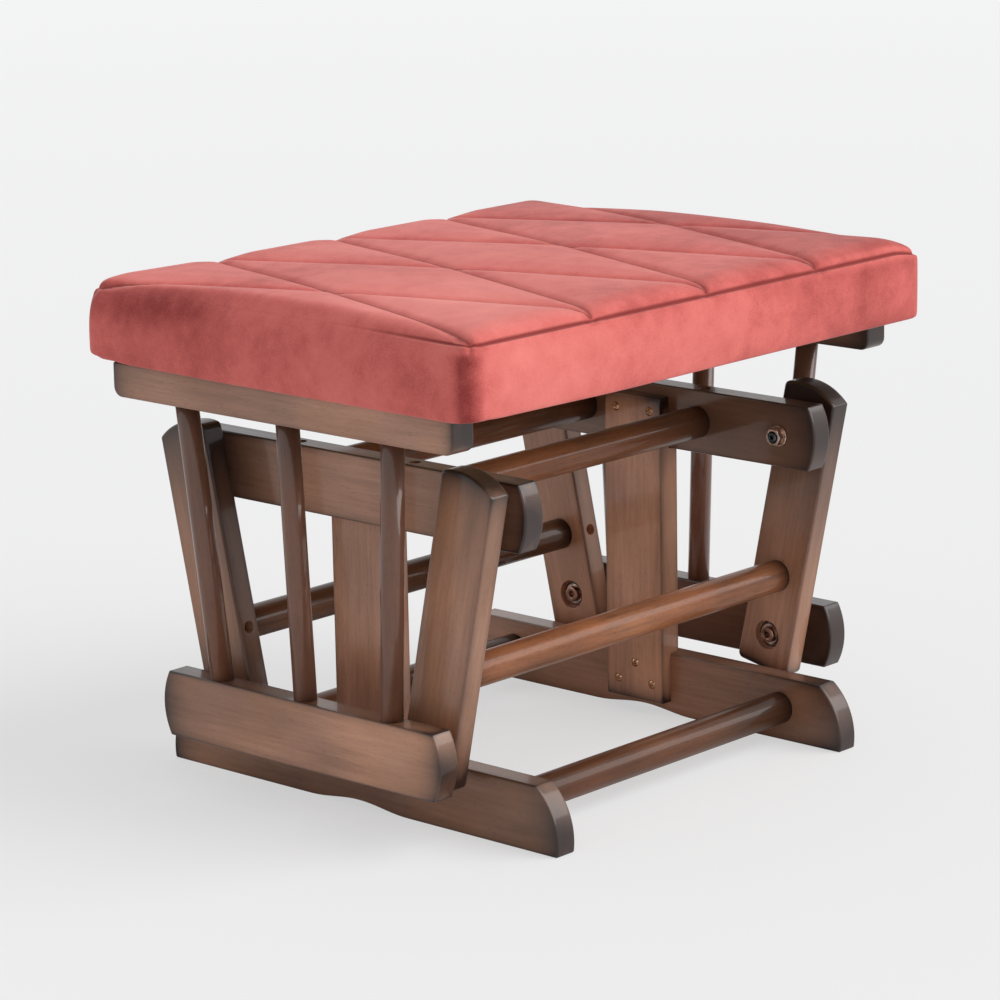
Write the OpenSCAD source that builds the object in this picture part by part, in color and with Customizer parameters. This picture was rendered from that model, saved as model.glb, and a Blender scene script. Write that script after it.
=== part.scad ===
// Glider ottoman: a cushioned footrest that swings back and forth on four hanging arms.
// X runs along the width, the front faces -Y, +Z is up, and the origin is on the floor
// under the middle of the base. The base stands still. Its top rails carry four swing
// arms on studs, and the arms carry the seat frame by its two lower side rails.

/* [Boards] */
// Thickness of the base rails
board_t = 20; // [18:0.5:22]
// Height of the base rails and of the moving lower rails
board_h = 52; // [48:1:58]
// How far the middle of a rounded rail end stands past its corners
rail_bow = 7; // [5:0.5:9]
// Radius of the eased long edges of the rails and boards
edge_ease = 1.5; // [1:0.1:2]

/* [Base] */
// Width over the outer faces of the foot rails and top rails
base_w = 362; // [340:2:380]
// Length of the foot rails
foot_l = 410; // [390:2:430]
// Radius of the rounded ends of the foot rails
foot_end_r = 54; // [50:1:60]
// Height of the furthest point of a foot rail's end above the floor
foot_nose_h = 9; // [6:0.5:12]
// Length of the shallow relief under a foot rail
arch_l = 104; // [80:2:120]
// Height of that relief
arch_h = 4.5; // [3:0.5:6]
// Length of the top rails between their corners
top_rail_l = 344; // [336:2:356]
// Height of the top rails' lower edge above the floor
top_rail_z = 226; // [216:1:236]

/* [Uprights] */
// Width of an upright, front to back
upright_w = 60; // [54:1:66]
// Thickness of an upright
upright_t = 21; // [19:0.5:23]
// Thickness of the tongues that lap over the inner faces of the rails
lap_t = 11; // [9:0.5:13]
// Height of an upright's lower end above the floor
upright_foot_gap = 11; // [9:0.5:14]
// Distance of an upright's upper end below the top edge of the top rail
upright_head_gap = 9; // [6:0.5:12]

/* [Dowels] */
// Diameter of the round cross dowels
dowel_d = 26; // [24:0.5:28]
// Diameter of the tenons on their ends
tenon_d = 16; // [14:0.5:18]
// Length of those tenons
tenon_l = 14; // [12.5:0.5:15.5]
// Distance of the floor dowels from the middle
floor_dowel_y = 144; // [134:1:154]
// Height of the floor dowels
floor_dowel_z = 27; // [25:0.5:30]
// Distance of the top dowels from the middle
top_dowel_y = 60; // [54:1:66]

/* [Swing arms] */
// Thickness of a swing arm
arm_t = 20; // [18:0.5:22]
// Width of a swing arm
arm_w = 51; // [48:1:54]
// Gap between a top rail and a swing arm
arm_gap = 11; // [9:0.5:13]
// Distance of the upper pivots from the middle
pivot_y = 143.5; // [140:0.5:147]
// Height of the upper pivots
pivot_z = 251.5; // [246:0.5:257]
// Distance of the lower pivots from the middle
low_pivot_y = 106; // [102:0.5:110]
// Height of the lower pivots
low_pivot_z = 74.5; // [70:0.5:79]
// Distance from the upper pivot to the arm's outer top corner, along the arm
head_outer = 27.5; // [25:0.5:30]
// Distance from the upper pivot to the arm's inner top corner, along the arm
head_inner = 32.5; // [30:0.5:35]
// Radius of the arm's rounded top
head_r = 51; // [45:1:60]
// Distance from the lower pivot to the arm's lower end
arm_foot = 29; // [26:0.5:32]
// Radius of the corners at the arm's lower end and inner top corner
arm_corner_r = 5; // [4:0.5:7]
// Radius of the arm's eased long edges
arm_ease = 3; // [2:0.5:4]
// Distance of the arm dowels above the lower pivots, along the arm
arm_dowel_up = 53; // [48:1:58]

/* [Seat frame] */
// Gap between a swing arm and a lower rail
seat_gap = 12; // [10:0.5:14]
// Thickness of the lower rails
lower_rail_t = 20; // [18:0.5:22]
// Length of the lower rails between their corners
lower_rail_l = 280; // [272:2:290]
// Height of the lower rails' lower edge above the floor
lower_rail_z = 45.5; // [41:0.5:50]
// Diameter of a spindle
spindle_d = 18; // [16:0.5:19]
// Diameter of the round tenons on a spindle's ends
spindle_tenon_d = 10; // [8:0.5:12]
// Length of those tenons
spindle_tenon_l = 13; // [10:0.5:15]
// Distance of the outer spindles' lower ends from the middle
spindle_low_y = 90; // [84:1:96]
// Distance of the outer spindles' upper ends from the middle
spindle_high_y = 108; // [100:1:114]
// How far a spindle's upper end stands further out than its lower end
spindle_lean = 10; // [6:0.5:14]
// Thickness of the seat rails
seat_rail_t = 23; // [21:0.5:25]
// Height of the seat rails
seat_rail_h = 27; // [24:0.5:32]
// Length of the seat rails
seat_rail_l = 355; // [340:1:370]
// Height of the seat rails' lower edge above the floor
seat_rail_z = 312.5; // [308:0.5:320]
// Width of the cross slats
slat_w = 56; // [48:1:64]
// Thickness of the cross slats
slat_t = 16; // [14:0.5:18]
// Distance of the cross slats from the middle
slat_y = 76; // [66:1:84]
// Thickness of the plywood board under the cushion
board_ply_t = 12; // [10:0.5:15]
// Width of the plywood board
board_ply_w = 500; // [484:2:510]
// Depth of the plywood board
board_ply_d = 376; // [360:2:386]

/* [Cushion] */
// Width of the cushion
cushion_w = 530; // [520:2:560]
// Depth of the cushion
cushion_d = 407; // [400:1:430]
// Height of the cushion's seam above its underside
cushion_side_h = 55; // [48:1:62]
// Rise of the stitched lines above the seam in the middle
crown_h = 9; // [6:0.5:16]
// Rise of the padding between the stitched lines
puff_h = 5; // [4:0.5:12]
// Width of the rounded shoulder inside the seam
shoulder_w = 30; // [20:1:40]
// How far the sides are drawn in half way between the corners
side_draw = 3; // [1:0.5:5]
// Radius of the cushion's upright corners
cushion_corner_r = 16; // [12:1:20]
// Number of stitched crosses, side by side
quilt_crosses = 4; // [3:1:5]

/* [Pivot hardware] */
// Diameter of the pivot studs and bolts
pin_d = 8; // [7:0.5:9]
// Outer diameter of the ball bearings
bearing_d = 22; // [20:0.5:23]
// Width of the ball bearings
bearing_w = 7; // [6:0.5:8]
// Outer diameter of a bearing's inner ring and of the sleeves and spacers beside it
race_d = 12; // [11.5:0.5:13]
// Width across the flats of the nuts
nut_flats = 13; // [12:0.5:14]
// Thickness of the nuts
nut_t = 6.5; // [5:0.5:8]
// Diameter of the washers
washer_d = 17; // [15:0.5:18]
// Thickness of the washers
washer_t = 1.6; // [1.2:0.1:2]
// Diameter of the socket heads of the lower bolts
bolt_head_d = 13; // [12:0.5:14]
// Height of those heads
bolt_head_h = 4; // [3.5:0.5:5]
// Diameter of the recess round the lower bolts
recess_d = 24; // [23:0.5:25]
// Depth of that recess
recess_t = 5.5; // [5:0.5:6]
// Play round the lower rear bolts, which the glide needs on one side of the linkage
open_play = 2.4; // [2.3:0.05:2.5]

/* [Screws] */
// Diameter of the wood screws' shanks
screw_d = 4; // [3:0.5:5]
// Diameter of their heads
screw_head_d = 6.8; // [6:0.2:7.6]
// Height of their heads
screw_head_h = 2.4; // [2:0.2:3]
// Diameter of the sunk seats round the heads
screw_seat_d = 8.4; // [8:0.2:9.6]
// Length of the upright screws under the head
screw_l = 24; // [20:1:26]
// Distance between the two screws of a row on an upright
screw_pitch = 36; // [30:1:40]
// Half the height of a triangle of screws
screw_rise = 8; // [6:0.5:9]
// Distance of the lower triangle's middle below the upright's lower shoulder
low_screws_drop = 18; // [15:0.5:20]
// Distance of the upper triangle's middle above the upright's upper shoulder
high_screws_lift = 23; // [20:0.5:26]
// Diameter of the sunk holes over the lock screws
lock_hole_d = 9; // [8:0.2:10]
// Depth of those sunk holes
lock_hole_t = 9; // [7:0.5:10]

/* [Fits] */
// Radial clearance of fixed joints
fit = 0.1; // [0.05:0.05:0.2]
// Radial clearance of the turning joints
run_fit = 0.05; // [0.03:0.01:0.09]
// Clearance between faces that move past each other
face_gap = 0.3; // [0.2:0.05:0.5]
// Clearance between the cushion and the wood
soft_gap = 0.3; // [0.2:0.05:0.5]

/* [Hidden] */
$fn = 64;

// One overrun for every cut that goes past a face
over = 1;

// Faces and heights of the base
rail_out_x = base_w / 2;
rail_in_x = rail_out_x - board_t;
top_rail_top = top_rail_z + board_h;
bow_r = (board_h * board_h / 4 + rail_bow * rail_bow) / (2 * rail_bow);
upright_in_x = rail_in_x - lap_t;
upright_out_x = upright_in_x + upright_t;
top_dowel_z = top_rail_z + board_h / 2;

// Faces and lean of the arms
arm_in_x = rail_out_x + arm_gap;
arm_out_x = arm_in_x + arm_t;
arm_run = pivot_y - low_pivot_y;
arm_drop = pivot_z - low_pivot_z;
arm_len = sqrt(arm_run * arm_run + arm_drop * arm_drop);
arm_lean = atan2(arm_run, arm_drop);
// The arm's bearing lies a little deeper than its recess, clear of the bolt's washer
ring_in_x = arm_in_x + recess_t + face_gap;

// Centre of the arc that rounds the top of an arm, which runs through both top corners
head_tilt = atan2(head_inner - head_outer, arm_w);
head_chord = arm_w / cos(head_tilt);
head_reach = sqrt(head_r * head_r - head_chord * head_chord / 4);
head_c = [sin(head_tilt) * head_reach, (head_outer + head_inner) / 2 - cos(head_tilt) * head_reach];

// Faces of the seat frame
lower_rail_in_x = arm_out_x + seat_gap;
lower_rail_out_x = lower_rail_in_x + lower_rail_t;
lower_rail_top = lower_rail_z + board_h;
spindle_low_x = (lower_rail_in_x + lower_rail_out_x) / 2;
spindle_high_x = spindle_low_x + spindle_lean;
seat_rail_in_x = spindle_high_x - seat_rail_t / 2;
seat_rail_out_x = spindle_high_x + seat_rail_t / 2;
seat_rail_top = seat_rail_z + seat_rail_h;
seat_corner_r = seat_rail_h * 0.3;
slat_pin_d = slat_t / 2;
slat_pin_l = seat_rail_t;

// Cushion
cushion_z = seat_rail_top;
quilt_steps = 12;
half_cross = cushion_w / quilt_crosses / 2;

// Screws
lock_screw_l = board_h / 3;
board_screw_l = slat_t + board_ply_t * 2 / 3;
slot_w = screw_head_d / 7;
slot_l = screw_head_d * 0.65;
slot_t = screw_head_h / 2;
insert_d = pin_d * 1.5;
insert_l = lower_rail_t * 0.7;
stud_embed = arm_t * 0.7;
stud_out = pin_d / 2;
chamfer = pin_d / 10;

wood = [0.45, 0.29, 0.22];
dark_wood = [0.30, 0.19, 0.15];
red_wood = [0.52, 0.28, 0.17];
brass = [0.78, 0.58, 0.30];
bronze = [0.42, 0.34, 0.26];
steel = [0.70, 0.70, 0.72];
velvet = [0.84, 0.42, 0.40];
plywood = [0.80, 0.66, 0.46];

// A flat outline in the Y-Z plane, made a board that starts at x and is t thick
module board(x, t) {
    translate([x, 0, 0]) rotate([90, 0, 90]) linear_extrude(t) children();
}

// A square with round corners, about its middle
module round_rect(w, h, r) {
    square([w - 2 * r, h], center = true);
    square([w, h - 2 * r], center = true);
    for (sx = [-1, 1], sy = [-1, 1])
        translate([sx * (w / 2 - r), sy * (h / 2 - r)]) circle(r);
}

// A bar along Y with eased long edges, x to x + t and z to z + h
module eased_bar(x, t, z, h, length) {
    translate([x + t / 2, 0, z + h / 2]) rotate([90, 0, 0])
        linear_extrude(length, center = true) round_rect(t, h, edge_ease);
}

// A cylinder along X from x, of length l
module rod_x(x, y, z, d, l) {
    translate([x, y, z]) rotate([0, 90, 0]) cylinder(d = d, h = l);
}

// A round bar between two points, run past each end by extra
module rod_between(low, high, d, extra) {
    v = high - low;
    lean_out = atan2(v[0], norm([v[1], v[2]]));
    fan_out = -atan2(v[1], v[2]);
    translate(low) rotate([fan_out, 0, 0]) rotate([0, lean_out, 0])
        translate([0, 0, -extra]) cylinder(d = d, h = norm(v) + 2 * extra);
}

// The same on both sides of the ottoman
module both_sides() {
    children();
    mirror([1, 0, 0]) children();
}

module both_ends() {
    children();
    mirror([0, 1, 0]) children();
}

// Outline of a rail with rounded ends: l between its corners, lower edge at z
module bowed_outline(l, z) {
    intersection() {
        translate([-l / 2 - rail_bow - over, z]) square([l + 2 * rail_bow + 2 * over, board_h]);
        union() {
            translate([-l / 2, z]) square([l, board_h]);
            for (s = [-1, 1])
                translate([s * (l / 2 + rail_bow - bow_r), z + board_h / 2]) circle(bow_r, $fn = 180);
        }
    }
}

// Outline of a foot rail: quarter-round ends and a shallow relief under the middle
module foot_outline() {
    end_c = foot_l / 2 - foot_end_r;
    relief = [for (i = [0 : 32]) let (s = i / 16 - 1)
        [s * arch_l / 2, arch_h * (1 + cos(180 * s)) / 2]];
    difference() {
        intersection() {
            translate([-foot_l / 2 - over, 0]) square([foot_l + 2 * over, board_h]);
            union() {
                translate([-end_c, 0]) square([2 * end_c, board_h]);
                for (s = [-1, 1]) translate([s * end_c, foot_nose_h]) circle(foot_end_r, $fn = 180);
            }
        }
        polygon(concat([[-arch_l / 2, -over]], relief, [[arch_l / 2, -over]]));
    }
}

// The waste outside a round corner of radius r, in the quarter that sx and sy point to
module corner_waste(at, r, sx, sy) {
    translate(at) difference() {
        translate([sx > 0 ? 0 : -r - over, sy > 0 ? 0 : -r - over]) square(r + over);
        circle(r);
    }
}

// A wood screw with a domed cross-slotted head: the head's underside is at the origin, shank down -Z
module wood_screw(l) {
    difference() {
        intersection() {
            cylinder(d = screw_head_d, h = screw_head_h);
            translate([0, 0, screw_head_h - screw_head_d]) sphere(d = 2 * screw_head_d, $fn = 96);
        }
        for (a = [0, 90]) rotate(a)
            translate([-slot_l / 2, -slot_w / 2, screw_head_h - slot_t]) cube([slot_l, slot_w, slot_t + over]);
    }
    translate([0, 0, -l + screw_d]) cylinder(d = screw_d, h = l - screw_d);
    translate([0, 0, -l]) cylinder(d1 = screw_d / 8, d2 = screw_d, h = screw_d);
}

// The hole for such a screw, with a sunk seat above its head
module screw_bore(l, seat_d, seat_t) {
    cylinder(d = seat_d, h = seat_t + over);
    translate([0, 0, -l - fit]) cylinder(d = screw_d + 2 * fit, h = l + fit + over);
}

// Places of the three screws at one end of an upright, a row of two and one beside it
module upright_screw_places() {
    row = screw_pitch / 2;
    low = board_h - low_screws_drop;
    high = top_rail_z + high_screws_lift;
    for (p = [[row, low - screw_rise], [-row, low - screw_rise], [0, low + screw_rise],
              [row, high + screw_rise], [-row, high + screw_rise], [0, high - screw_rise]])
        translate([upright_in_x + screw_head_h, p[0], p[1]]) rotate([0, -90, 0]) children();
}

// Places of the lock screws: top edges of the top rails, undersides of the foot rails
module base_lock_places() {
    mid_x = rail_in_x + board_t / 2;
    both_ends() {
        translate([mid_x, top_dowel_y, top_rail_top - lock_hole_t]) children();
        translate([mid_x, floor_dowel_y, lock_hole_t]) rotate([180, 0, 0]) children();
    }
}

// Base

module foot_rail() {
    difference() {
        intersection() {
            board(rail_in_x, board_t) foot_outline();
            eased_bar(rail_in_x, board_t, -board_h, 2 * board_h, foot_l + 4 * over);
        }
        both_ends() rod_x(rail_in_x - over, floor_dowel_y, floor_dowel_z,
            tenon_d + 2 * fit, tenon_l + fit + over);
        upright_screw_places() screw_bore(screw_l, screw_d, 0);
        base_lock_places() screw_bore(lock_screw_l, lock_hole_d, lock_hole_t);
    }
}

module foot_rail_left() {
    color(wood) mirror([1, 0, 0]) foot_rail();
}

module foot_rail_right() {
    color(wood) foot_rail();
}

module top_rail() {
    difference() {
        intersection() {
            board(rail_in_x, board_t) bowed_outline(top_rail_l, top_rail_z);
            eased_bar(rail_in_x, board_t, top_rail_z, board_h, top_rail_l + 2 * rail_bow + 4 * over);
        }
        both_ends() {
            rod_x(rail_in_x - over, top_dowel_y, top_dowel_z, tenon_d + 2 * fit, tenon_l + fit + over);
            rod_x(rail_in_x - over, pivot_y, pivot_z, race_d + 2 * face_gap, board_t + 2 * over);
            rod_x(rail_out_x - bearing_w, pivot_y, pivot_z, bearing_d + 2 * fit, bearing_w + over);
        }
        upright_screw_places() screw_bore(screw_l, screw_d, 0);
        base_lock_places() screw_bore(lock_screw_l, lock_hole_d, lock_hole_t);
    }
}

module top_rail_left() {
    color(wood) mirror([1, 0, 0]) top_rail();
}

module top_rail_right() {
    color(wood) top_rail();
}

// An upright board whose ends are rabbeted, so that a tongue laps over each rail's inner face
module upright() {
    low = upright_foot_gap;
    high = top_rail_top - upright_head_gap;
    difference() {
        intersection() {
            rotate([90, 0, 0]) linear_extrude(upright_w, center = true) polygon([
                [upright_in_x, low], [rail_in_x, low], [rail_in_x, board_h], [upright_out_x, board_h],
                [upright_out_x, top_rail_z], [rail_in_x, top_rail_z], [rail_in_x, high], [upright_in_x, high]]);
            translate([upright_in_x + upright_t / 2, 0, 0])
                linear_extrude(top_rail_top) round_rect(upright_t, upright_w, edge_ease);
        }
        upright_screw_places() screw_bore(screw_l, screw_seat_d, screw_head_h);
    }
}

module upright_left() {
    color(wood) mirror([1, 0, 0]) upright();
}

module upright_right() {
    color(wood) upright();
}

// A round cross bar with a tenon at each end, between inner faces at x and -x
module cross_dowel(x, y, z) {
    rod_x(-x, y, z, dowel_d, 2 * x);
    rod_x(-x - tenon_l, y, z, tenon_d, 2 * (x + tenon_l));
}

module front_floor_dowel() {
    color(red_wood) difference() {
        cross_dowel(rail_in_x, -floor_dowel_y, floor_dowel_z);
        both_sides() base_lock_places() screw_bore(lock_screw_l, lock_hole_d, lock_hole_t);
    }
}

module rear_floor_dowel() {
    color(red_wood) difference() {
        cross_dowel(rail_in_x, floor_dowel_y, floor_dowel_z);
        both_sides() base_lock_places() screw_bore(lock_screw_l, lock_hole_d, lock_hole_t);
    }
}

module front_top_dowel() {
    color(red_wood) difference() {
        cross_dowel(rail_in_x, -top_dowel_y, top_dowel_z);
        both_sides() base_lock_places() screw_bore(lock_screw_l, lock_hole_d, lock_hole_t);
    }
}

module rear_top_dowel() {
    color(red_wood) difference() {
        cross_dowel(rail_in_x, top_dowel_y, top_dowel_z);
        both_sides() base_lock_places() screw_bore(lock_screw_l, lock_hole_d, lock_hole_t);
    }
}

module upright_screws() {
    color(brass) both_sides() upright_screw_places() wood_screw(screw_l);
}

module base_lock_screws() {
    color(brass) both_sides() base_lock_places() wood_screw(lock_screw_l);
}

// A ring along X from x, about a pivot
module ring_x(x, y, z, outer_d, inner_d, w) {
    difference() {
        rod_x(x, y, z, outer_d, w);
        rod_x(x - over, y, z, inner_d, w + 2 * over);
    }
}

module top_bearing_rings() {
    color(steel) both_sides() both_ends()
        ring_x(rail_out_x - bearing_w, pivot_y, pivot_z, bearing_d, race_d + 2 * run_fit, bearing_w);
}

// Swing arms: a front pair, and a rear pair that is its mirror image

// Puts what is drawn along an upright arm, with the upper pivot at the origin, at the front arm's place
module at_front_arm() {
    translate([0, -pivot_y, pivot_z]) rotate([arm_lean, 0, 0]) children();
}

module arm_outline() {
    r = arm_corner_r;
    half = arm_w / 2;
    low = -arm_len - arm_foot;
    knee = [half - r, head_c[1] + sqrt(pow(head_r - r, 2) - pow(half - r - head_c[0], 2))];
    out = (knee - head_c) / norm(knee - head_c);
    difference() {
        intersection() {
            translate([-half, low]) square([arm_w, arm_len + arm_foot + head_r]);
            union() {
                translate([-half, low]) square([arm_w, arm_len + arm_foot]);
                translate(head_c) circle(head_r, $fn = 180);
            }
        }
        corner_waste([half - r, low + r], r, 1, -1);
        corner_waste([-half + r, low + r], r, -1, -1);
        difference() {
            polygon([knee, knee + [2 * r, 0], knee + [2 * r, 2 * r], knee + 2 * r * out]);
            translate(knee) circle(r);
        }
    }
}

// Place of the lock screw in the arm's inner edge, at the height of the arm dowel
module arm_lock_place() {
    at_front_arm() translate([arm_in_x + arm_t / 2, arm_w / 2 - lock_hole_t, arm_dowel_up - arm_len])
        rotate([-90, 0, 0]) children();
}

// The front arm on the right, with a through hole of the given width at the lower pivot
module swing_arm(low_hole_d) {
    difference() {
        at_front_arm() difference() {
            intersection() {
                board(arm_in_x, arm_t) arm_outline();
                translate([arm_in_x + arm_t / 2, 0, -arm_len - arm_foot - over])
                    linear_extrude(arm_len + arm_foot + over + 2 * head_r)
                        round_rect(arm_t, arm_w, arm_ease, $fn = 12);
            }
            rod_x(arm_in_x - over, 0, arm_dowel_up - arm_len, tenon_d + 2 * fit, tenon_l + fit + over);
            rod_x(arm_in_x - over, 0, 0, pin_d + 2 * fit, stud_embed + fit + over);
            rod_x(arm_in_x - over, 0, -arm_len, low_hole_d, arm_t + 2 * over);
            rod_x(arm_in_x - over, 0, -arm_len, recess_d, recess_t + over);
            rod_x(arm_in_x - over, 0, -arm_len, bearing_d + 2 * fit, ring_in_x + bearing_w - arm_in_x + over);
        }
        arm_lock_place() screw_bore(lock_screw_l, lock_hole_d, lock_hole_t);
    }
}

// Holes through the arms at the lower pivots: the rear ones leave play for the glide
front_low_hole_d = race_d + 2 * face_gap;
rear_low_hole_d = race_d + 2 * open_play + 2 * face_gap;

module front_arm_left() {
    color(wood) mirror([1, 0, 0]) swing_arm(front_low_hole_d);
}

module front_arm_right() {
    color(wood) swing_arm(front_low_hole_d);
}

module rear_arm_left() {
    color(wood) mirror([1, 0, 0]) mirror([0, 1, 0]) swing_arm(rear_low_hole_d);
}

module rear_arm_right() {
    color(wood) mirror([0, 1, 0]) swing_arm(rear_low_hole_d);
}

module arm_dowel() {
    difference() {
        at_front_arm() cross_dowel(arm_in_x, 0, arm_dowel_up - arm_len);
        both_sides() arm_lock_place() screw_bore(lock_screw_l, lock_hole_d, lock_hole_t);
    }
}

module front_arm_dowel() {
    color(red_wood) arm_dowel();
}

module rear_arm_dowel() {
    color(red_wood) mirror([0, 1, 0]) arm_dowel();
}

module front_arm_lock_screws() {
    color(brass) both_sides() arm_lock_place() wood_screw(lock_screw_l);
}

module rear_arm_lock_screws() {
    color(brass) mirror([0, 1, 0]) both_sides() arm_lock_place() wood_screw(lock_screw_l);
}

// Upper pivot: a stud fixed in the arm turns in the top rail's bearing, with washer and nut inside
stud_in_x = rail_in_x - face_gap - washer_t - nut_t - stud_out;
stud_end_x = arm_in_x + stud_embed;

module pivot_studs() {
    both_sides() {
        rod_x(stud_in_x + chamfer, -pivot_y, pivot_z, pin_d, stud_end_x - stud_in_x - chamfer);
        translate([stud_in_x, -pivot_y, pivot_z]) rotate([0, 90, 0])
            cylinder(d1 = pin_d - 2 * chamfer, d2 = pin_d, h = chamfer);
    }
}

module pivot_nuts() {
    both_sides() difference() {
        translate([rail_in_x - face_gap - washer_t, -pivot_y, pivot_z]) rotate([0, -90, 0])
            intersection() {
                cylinder(d = nut_flats / cos(30), h = nut_t, $fn = 6);
                translate([0, 0, nut_t - nut_flats]) sphere(d = 2.2 * nut_flats, $fn = 96);
            }
        rod_x(stud_in_x - over, -pivot_y, pivot_z, pin_d + 2 * fit, stud_end_x - stud_in_x);
    }
}

module pivot_washers() {
    both_sides() ring_x(rail_in_x - face_gap - washer_t, -pivot_y, pivot_z, washer_d, pin_d + 2 * fit, washer_t);
}

module inner_rings() {
    both_sides() ring_x(rail_out_x - bearing_w, -pivot_y, pivot_z, race_d, pin_d + 2 * fit, bearing_w);
}

module sleeves() {
    both_sides() ring_x(rail_out_x, -pivot_y, pivot_z, race_d, pin_d + 2 * fit, arm_gap);
}

module arm_bearing_rings(bore_d) {
    both_sides() ring_x(ring_in_x, -low_pivot_y, low_pivot_z, bearing_d, bore_d, bearing_w);
}

module front_pivot_studs() {
    color(bronze) pivot_studs();
}

module front_pivot_nuts() {
    color(bronze) pivot_nuts();
}

module front_pivot_washers() {
    color(bronze) pivot_washers();
}

module front_inner_rings() {
    color(steel) inner_rings();
}

module front_sleeves() {
    color(brass) sleeves();
}

module front_bearing_rings() {
    color(steel) arm_bearing_rings(race_d + 2 * run_fit);
}

module rear_pivot_studs() {
    color(bronze) mirror([0, 1, 0]) pivot_studs();
}

module rear_pivot_nuts() {
    color(bronze) mirror([0, 1, 0]) pivot_nuts();
}

module rear_pivot_washers() {
    color(bronze) mirror([0, 1, 0]) pivot_washers();
}

module rear_inner_rings() {
    color(steel) mirror([0, 1, 0]) inner_rings();
}

module rear_sleeves() {
    color(brass) mirror([0, 1, 0]) sleeves();
}

module rear_bearing_rings() {
    color(steel) mirror([0, 1, 0]) arm_bearing_rings(race_d + 2 * open_play);
}

// Seat frame

// Ends of the spindles' axes on the right, for s = -1 at the front, 0 in the middle and 1 at the rear
function spindle_low(s) = [spindle_low_x, s * spindle_low_y, lower_rail_top];
function spindle_high(s) = [spindle_high_x, s * spindle_high_y, seat_rail_z];

module spindle(s) {
    intersection() {
        rod_between(spindle_low(s), spindle_high(s), spindle_d, spindle_d);
        translate([0, -seat_rail_l, lower_rail_top])
            cube([cushion_w, 2 * seat_rail_l, seat_rail_z - lower_rail_top]);
    }
    rod_between(spindle_low(s), spindle_high(s), spindle_tenon_d, spindle_tenon_l);
}

module spindle_bores() {
    for (s = [-1 : 1])
        rod_between(spindle_low(s), spindle_high(s), spindle_tenon_d + 2 * fit, spindle_tenon_l + fit);
}

module lower_rail() {
    difference() {
        intersection() {
            board(lower_rail_in_x, lower_rail_t) bowed_outline(lower_rail_l, lower_rail_z);
            eased_bar(lower_rail_in_x, lower_rail_t, lower_rail_z, board_h,
                lower_rail_l + 2 * rail_bow + 4 * over);
        }
        spindle_bores();
        both_ends() rod_x(lower_rail_in_x - over, low_pivot_y, low_pivot_z,
            insert_d + 2 * fit, insert_l + fit + over);
    }
}

module lower_rail_left() {
    color(wood) mirror([1, 0, 0]) lower_rail();
}

module lower_rail_right() {
    color(wood) lower_rail();
}

module front_spindle_left() {
    color(dark_wood) mirror([1, 0, 0]) spindle(-1);
}

module middle_spindle_left() {
    color(dark_wood) mirror([1, 0, 0]) spindle(0);
}

module rear_spindle_left() {
    color(dark_wood) mirror([1, 0, 0]) spindle(1);
}

module front_spindle_right() {
    color(dark_wood) spindle(-1);
}

module middle_spindle_right() {
    color(dark_wood) spindle(0);
}

module rear_spindle_right() {
    color(dark_wood) spindle(1);
}

// Round pins between the slats' ends and the seat rails
module slat_pin_bores(clear) {
    for (sy = [-1, 1], off = [-1, 1])
        rod_x(seat_rail_in_x - slat_pin_l / 2 - clear, sy * slat_y + off * slat_w / 4,
            seat_rail_top - slat_t / 2, slat_pin_d + 2 * clear, slat_pin_l + 2 * clear);
}

module seat_rail() {
    r = seat_corner_r;
    difference() {
        intersection() {
            board(seat_rail_in_x, seat_rail_t) difference() {
                translate([-seat_rail_l / 2, seat_rail_z]) square([seat_rail_l, seat_rail_h]);
                for (s = [-1, 1])
                    corner_waste([s * (seat_rail_l / 2 - r), seat_rail_z + r], r, s, -1);
            }
            eased_bar(seat_rail_in_x, seat_rail_t, seat_rail_z, seat_rail_h, seat_rail_l + 2 * over);
        }
        spindle_bores();
        slat_pin_bores(fit);
    }
}

module seat_rail_left() {
    color(wood) mirror([1, 0, 0]) seat_rail();
}

module seat_rail_right() {
    color(wood) seat_rail();
}

// Places of the screws that hold the plywood board down on the slats, heads below
module board_screw_places() {
    for (sx = [-1, 1], step = [1, 3])
        translate([sx * step * seat_rail_in_x / 4, 0, seat_rail_top - slat_t + screw_head_h])
            rotate([180, 0, 0]) children();
}

module slat() {
    difference() {
        translate([0, 0, seat_rail_top - slat_t / 2]) rotate([90, 0, 90])
            linear_extrude(2 * seat_rail_in_x, center = true) round_rect(slat_w, slat_t, edge_ease);
        board_screw_places() screw_bore(board_screw_l, screw_seat_d, screw_head_h);
    }
}

module front_slat() {
    color(plywood) difference() {
        translate([0, -slat_y, 0]) slat();
        both_sides() slat_pin_bores(fit);
    }
}

module rear_slat() {
    color(plywood) difference() {
        translate([0, slat_y, 0]) slat();
        both_sides() slat_pin_bores(fit);
    }
}

module seat_board() {
    color(plywood) difference() {
        translate([0, 0, seat_rail_top]) linear_extrude(board_ply_t)
            round_rect(board_ply_w, board_ply_d, cushion_corner_r / 2);
        both_ends() translate([0, slat_y, 0]) board_screw_places() screw_bore(board_screw_l, screw_d, 0);
    }
}

module slat_pins() {
    color(plywood) both_sides() slat_pin_bores(0);
}

module seat_board_screws() {
    color(steel) both_ends() translate([0, slat_y, 0]) board_screw_places() wood_screw(board_screw_l);
}

// Lower pivots: a socket bolt through the arm's bearing into an insert in the lower rail
washer_x = arm_in_x + recess_t - washer_t;
head_x = washer_x - bolt_head_h;

module low_bolt() {
    difference() {
        rod_x(head_x, low_pivot_y, low_pivot_z, bolt_head_d, bolt_head_h);
        translate([head_x - over, low_pivot_y, low_pivot_z]) rotate([0, 90, 0])
            cylinder(d = bolt_head_d / 2, h = bolt_head_h * 0.6 + over, $fn = 6);
    }
    rod_x(washer_x, low_pivot_y, low_pivot_z, pin_d, lower_rail_in_x + insert_l - washer_x);
}

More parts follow.
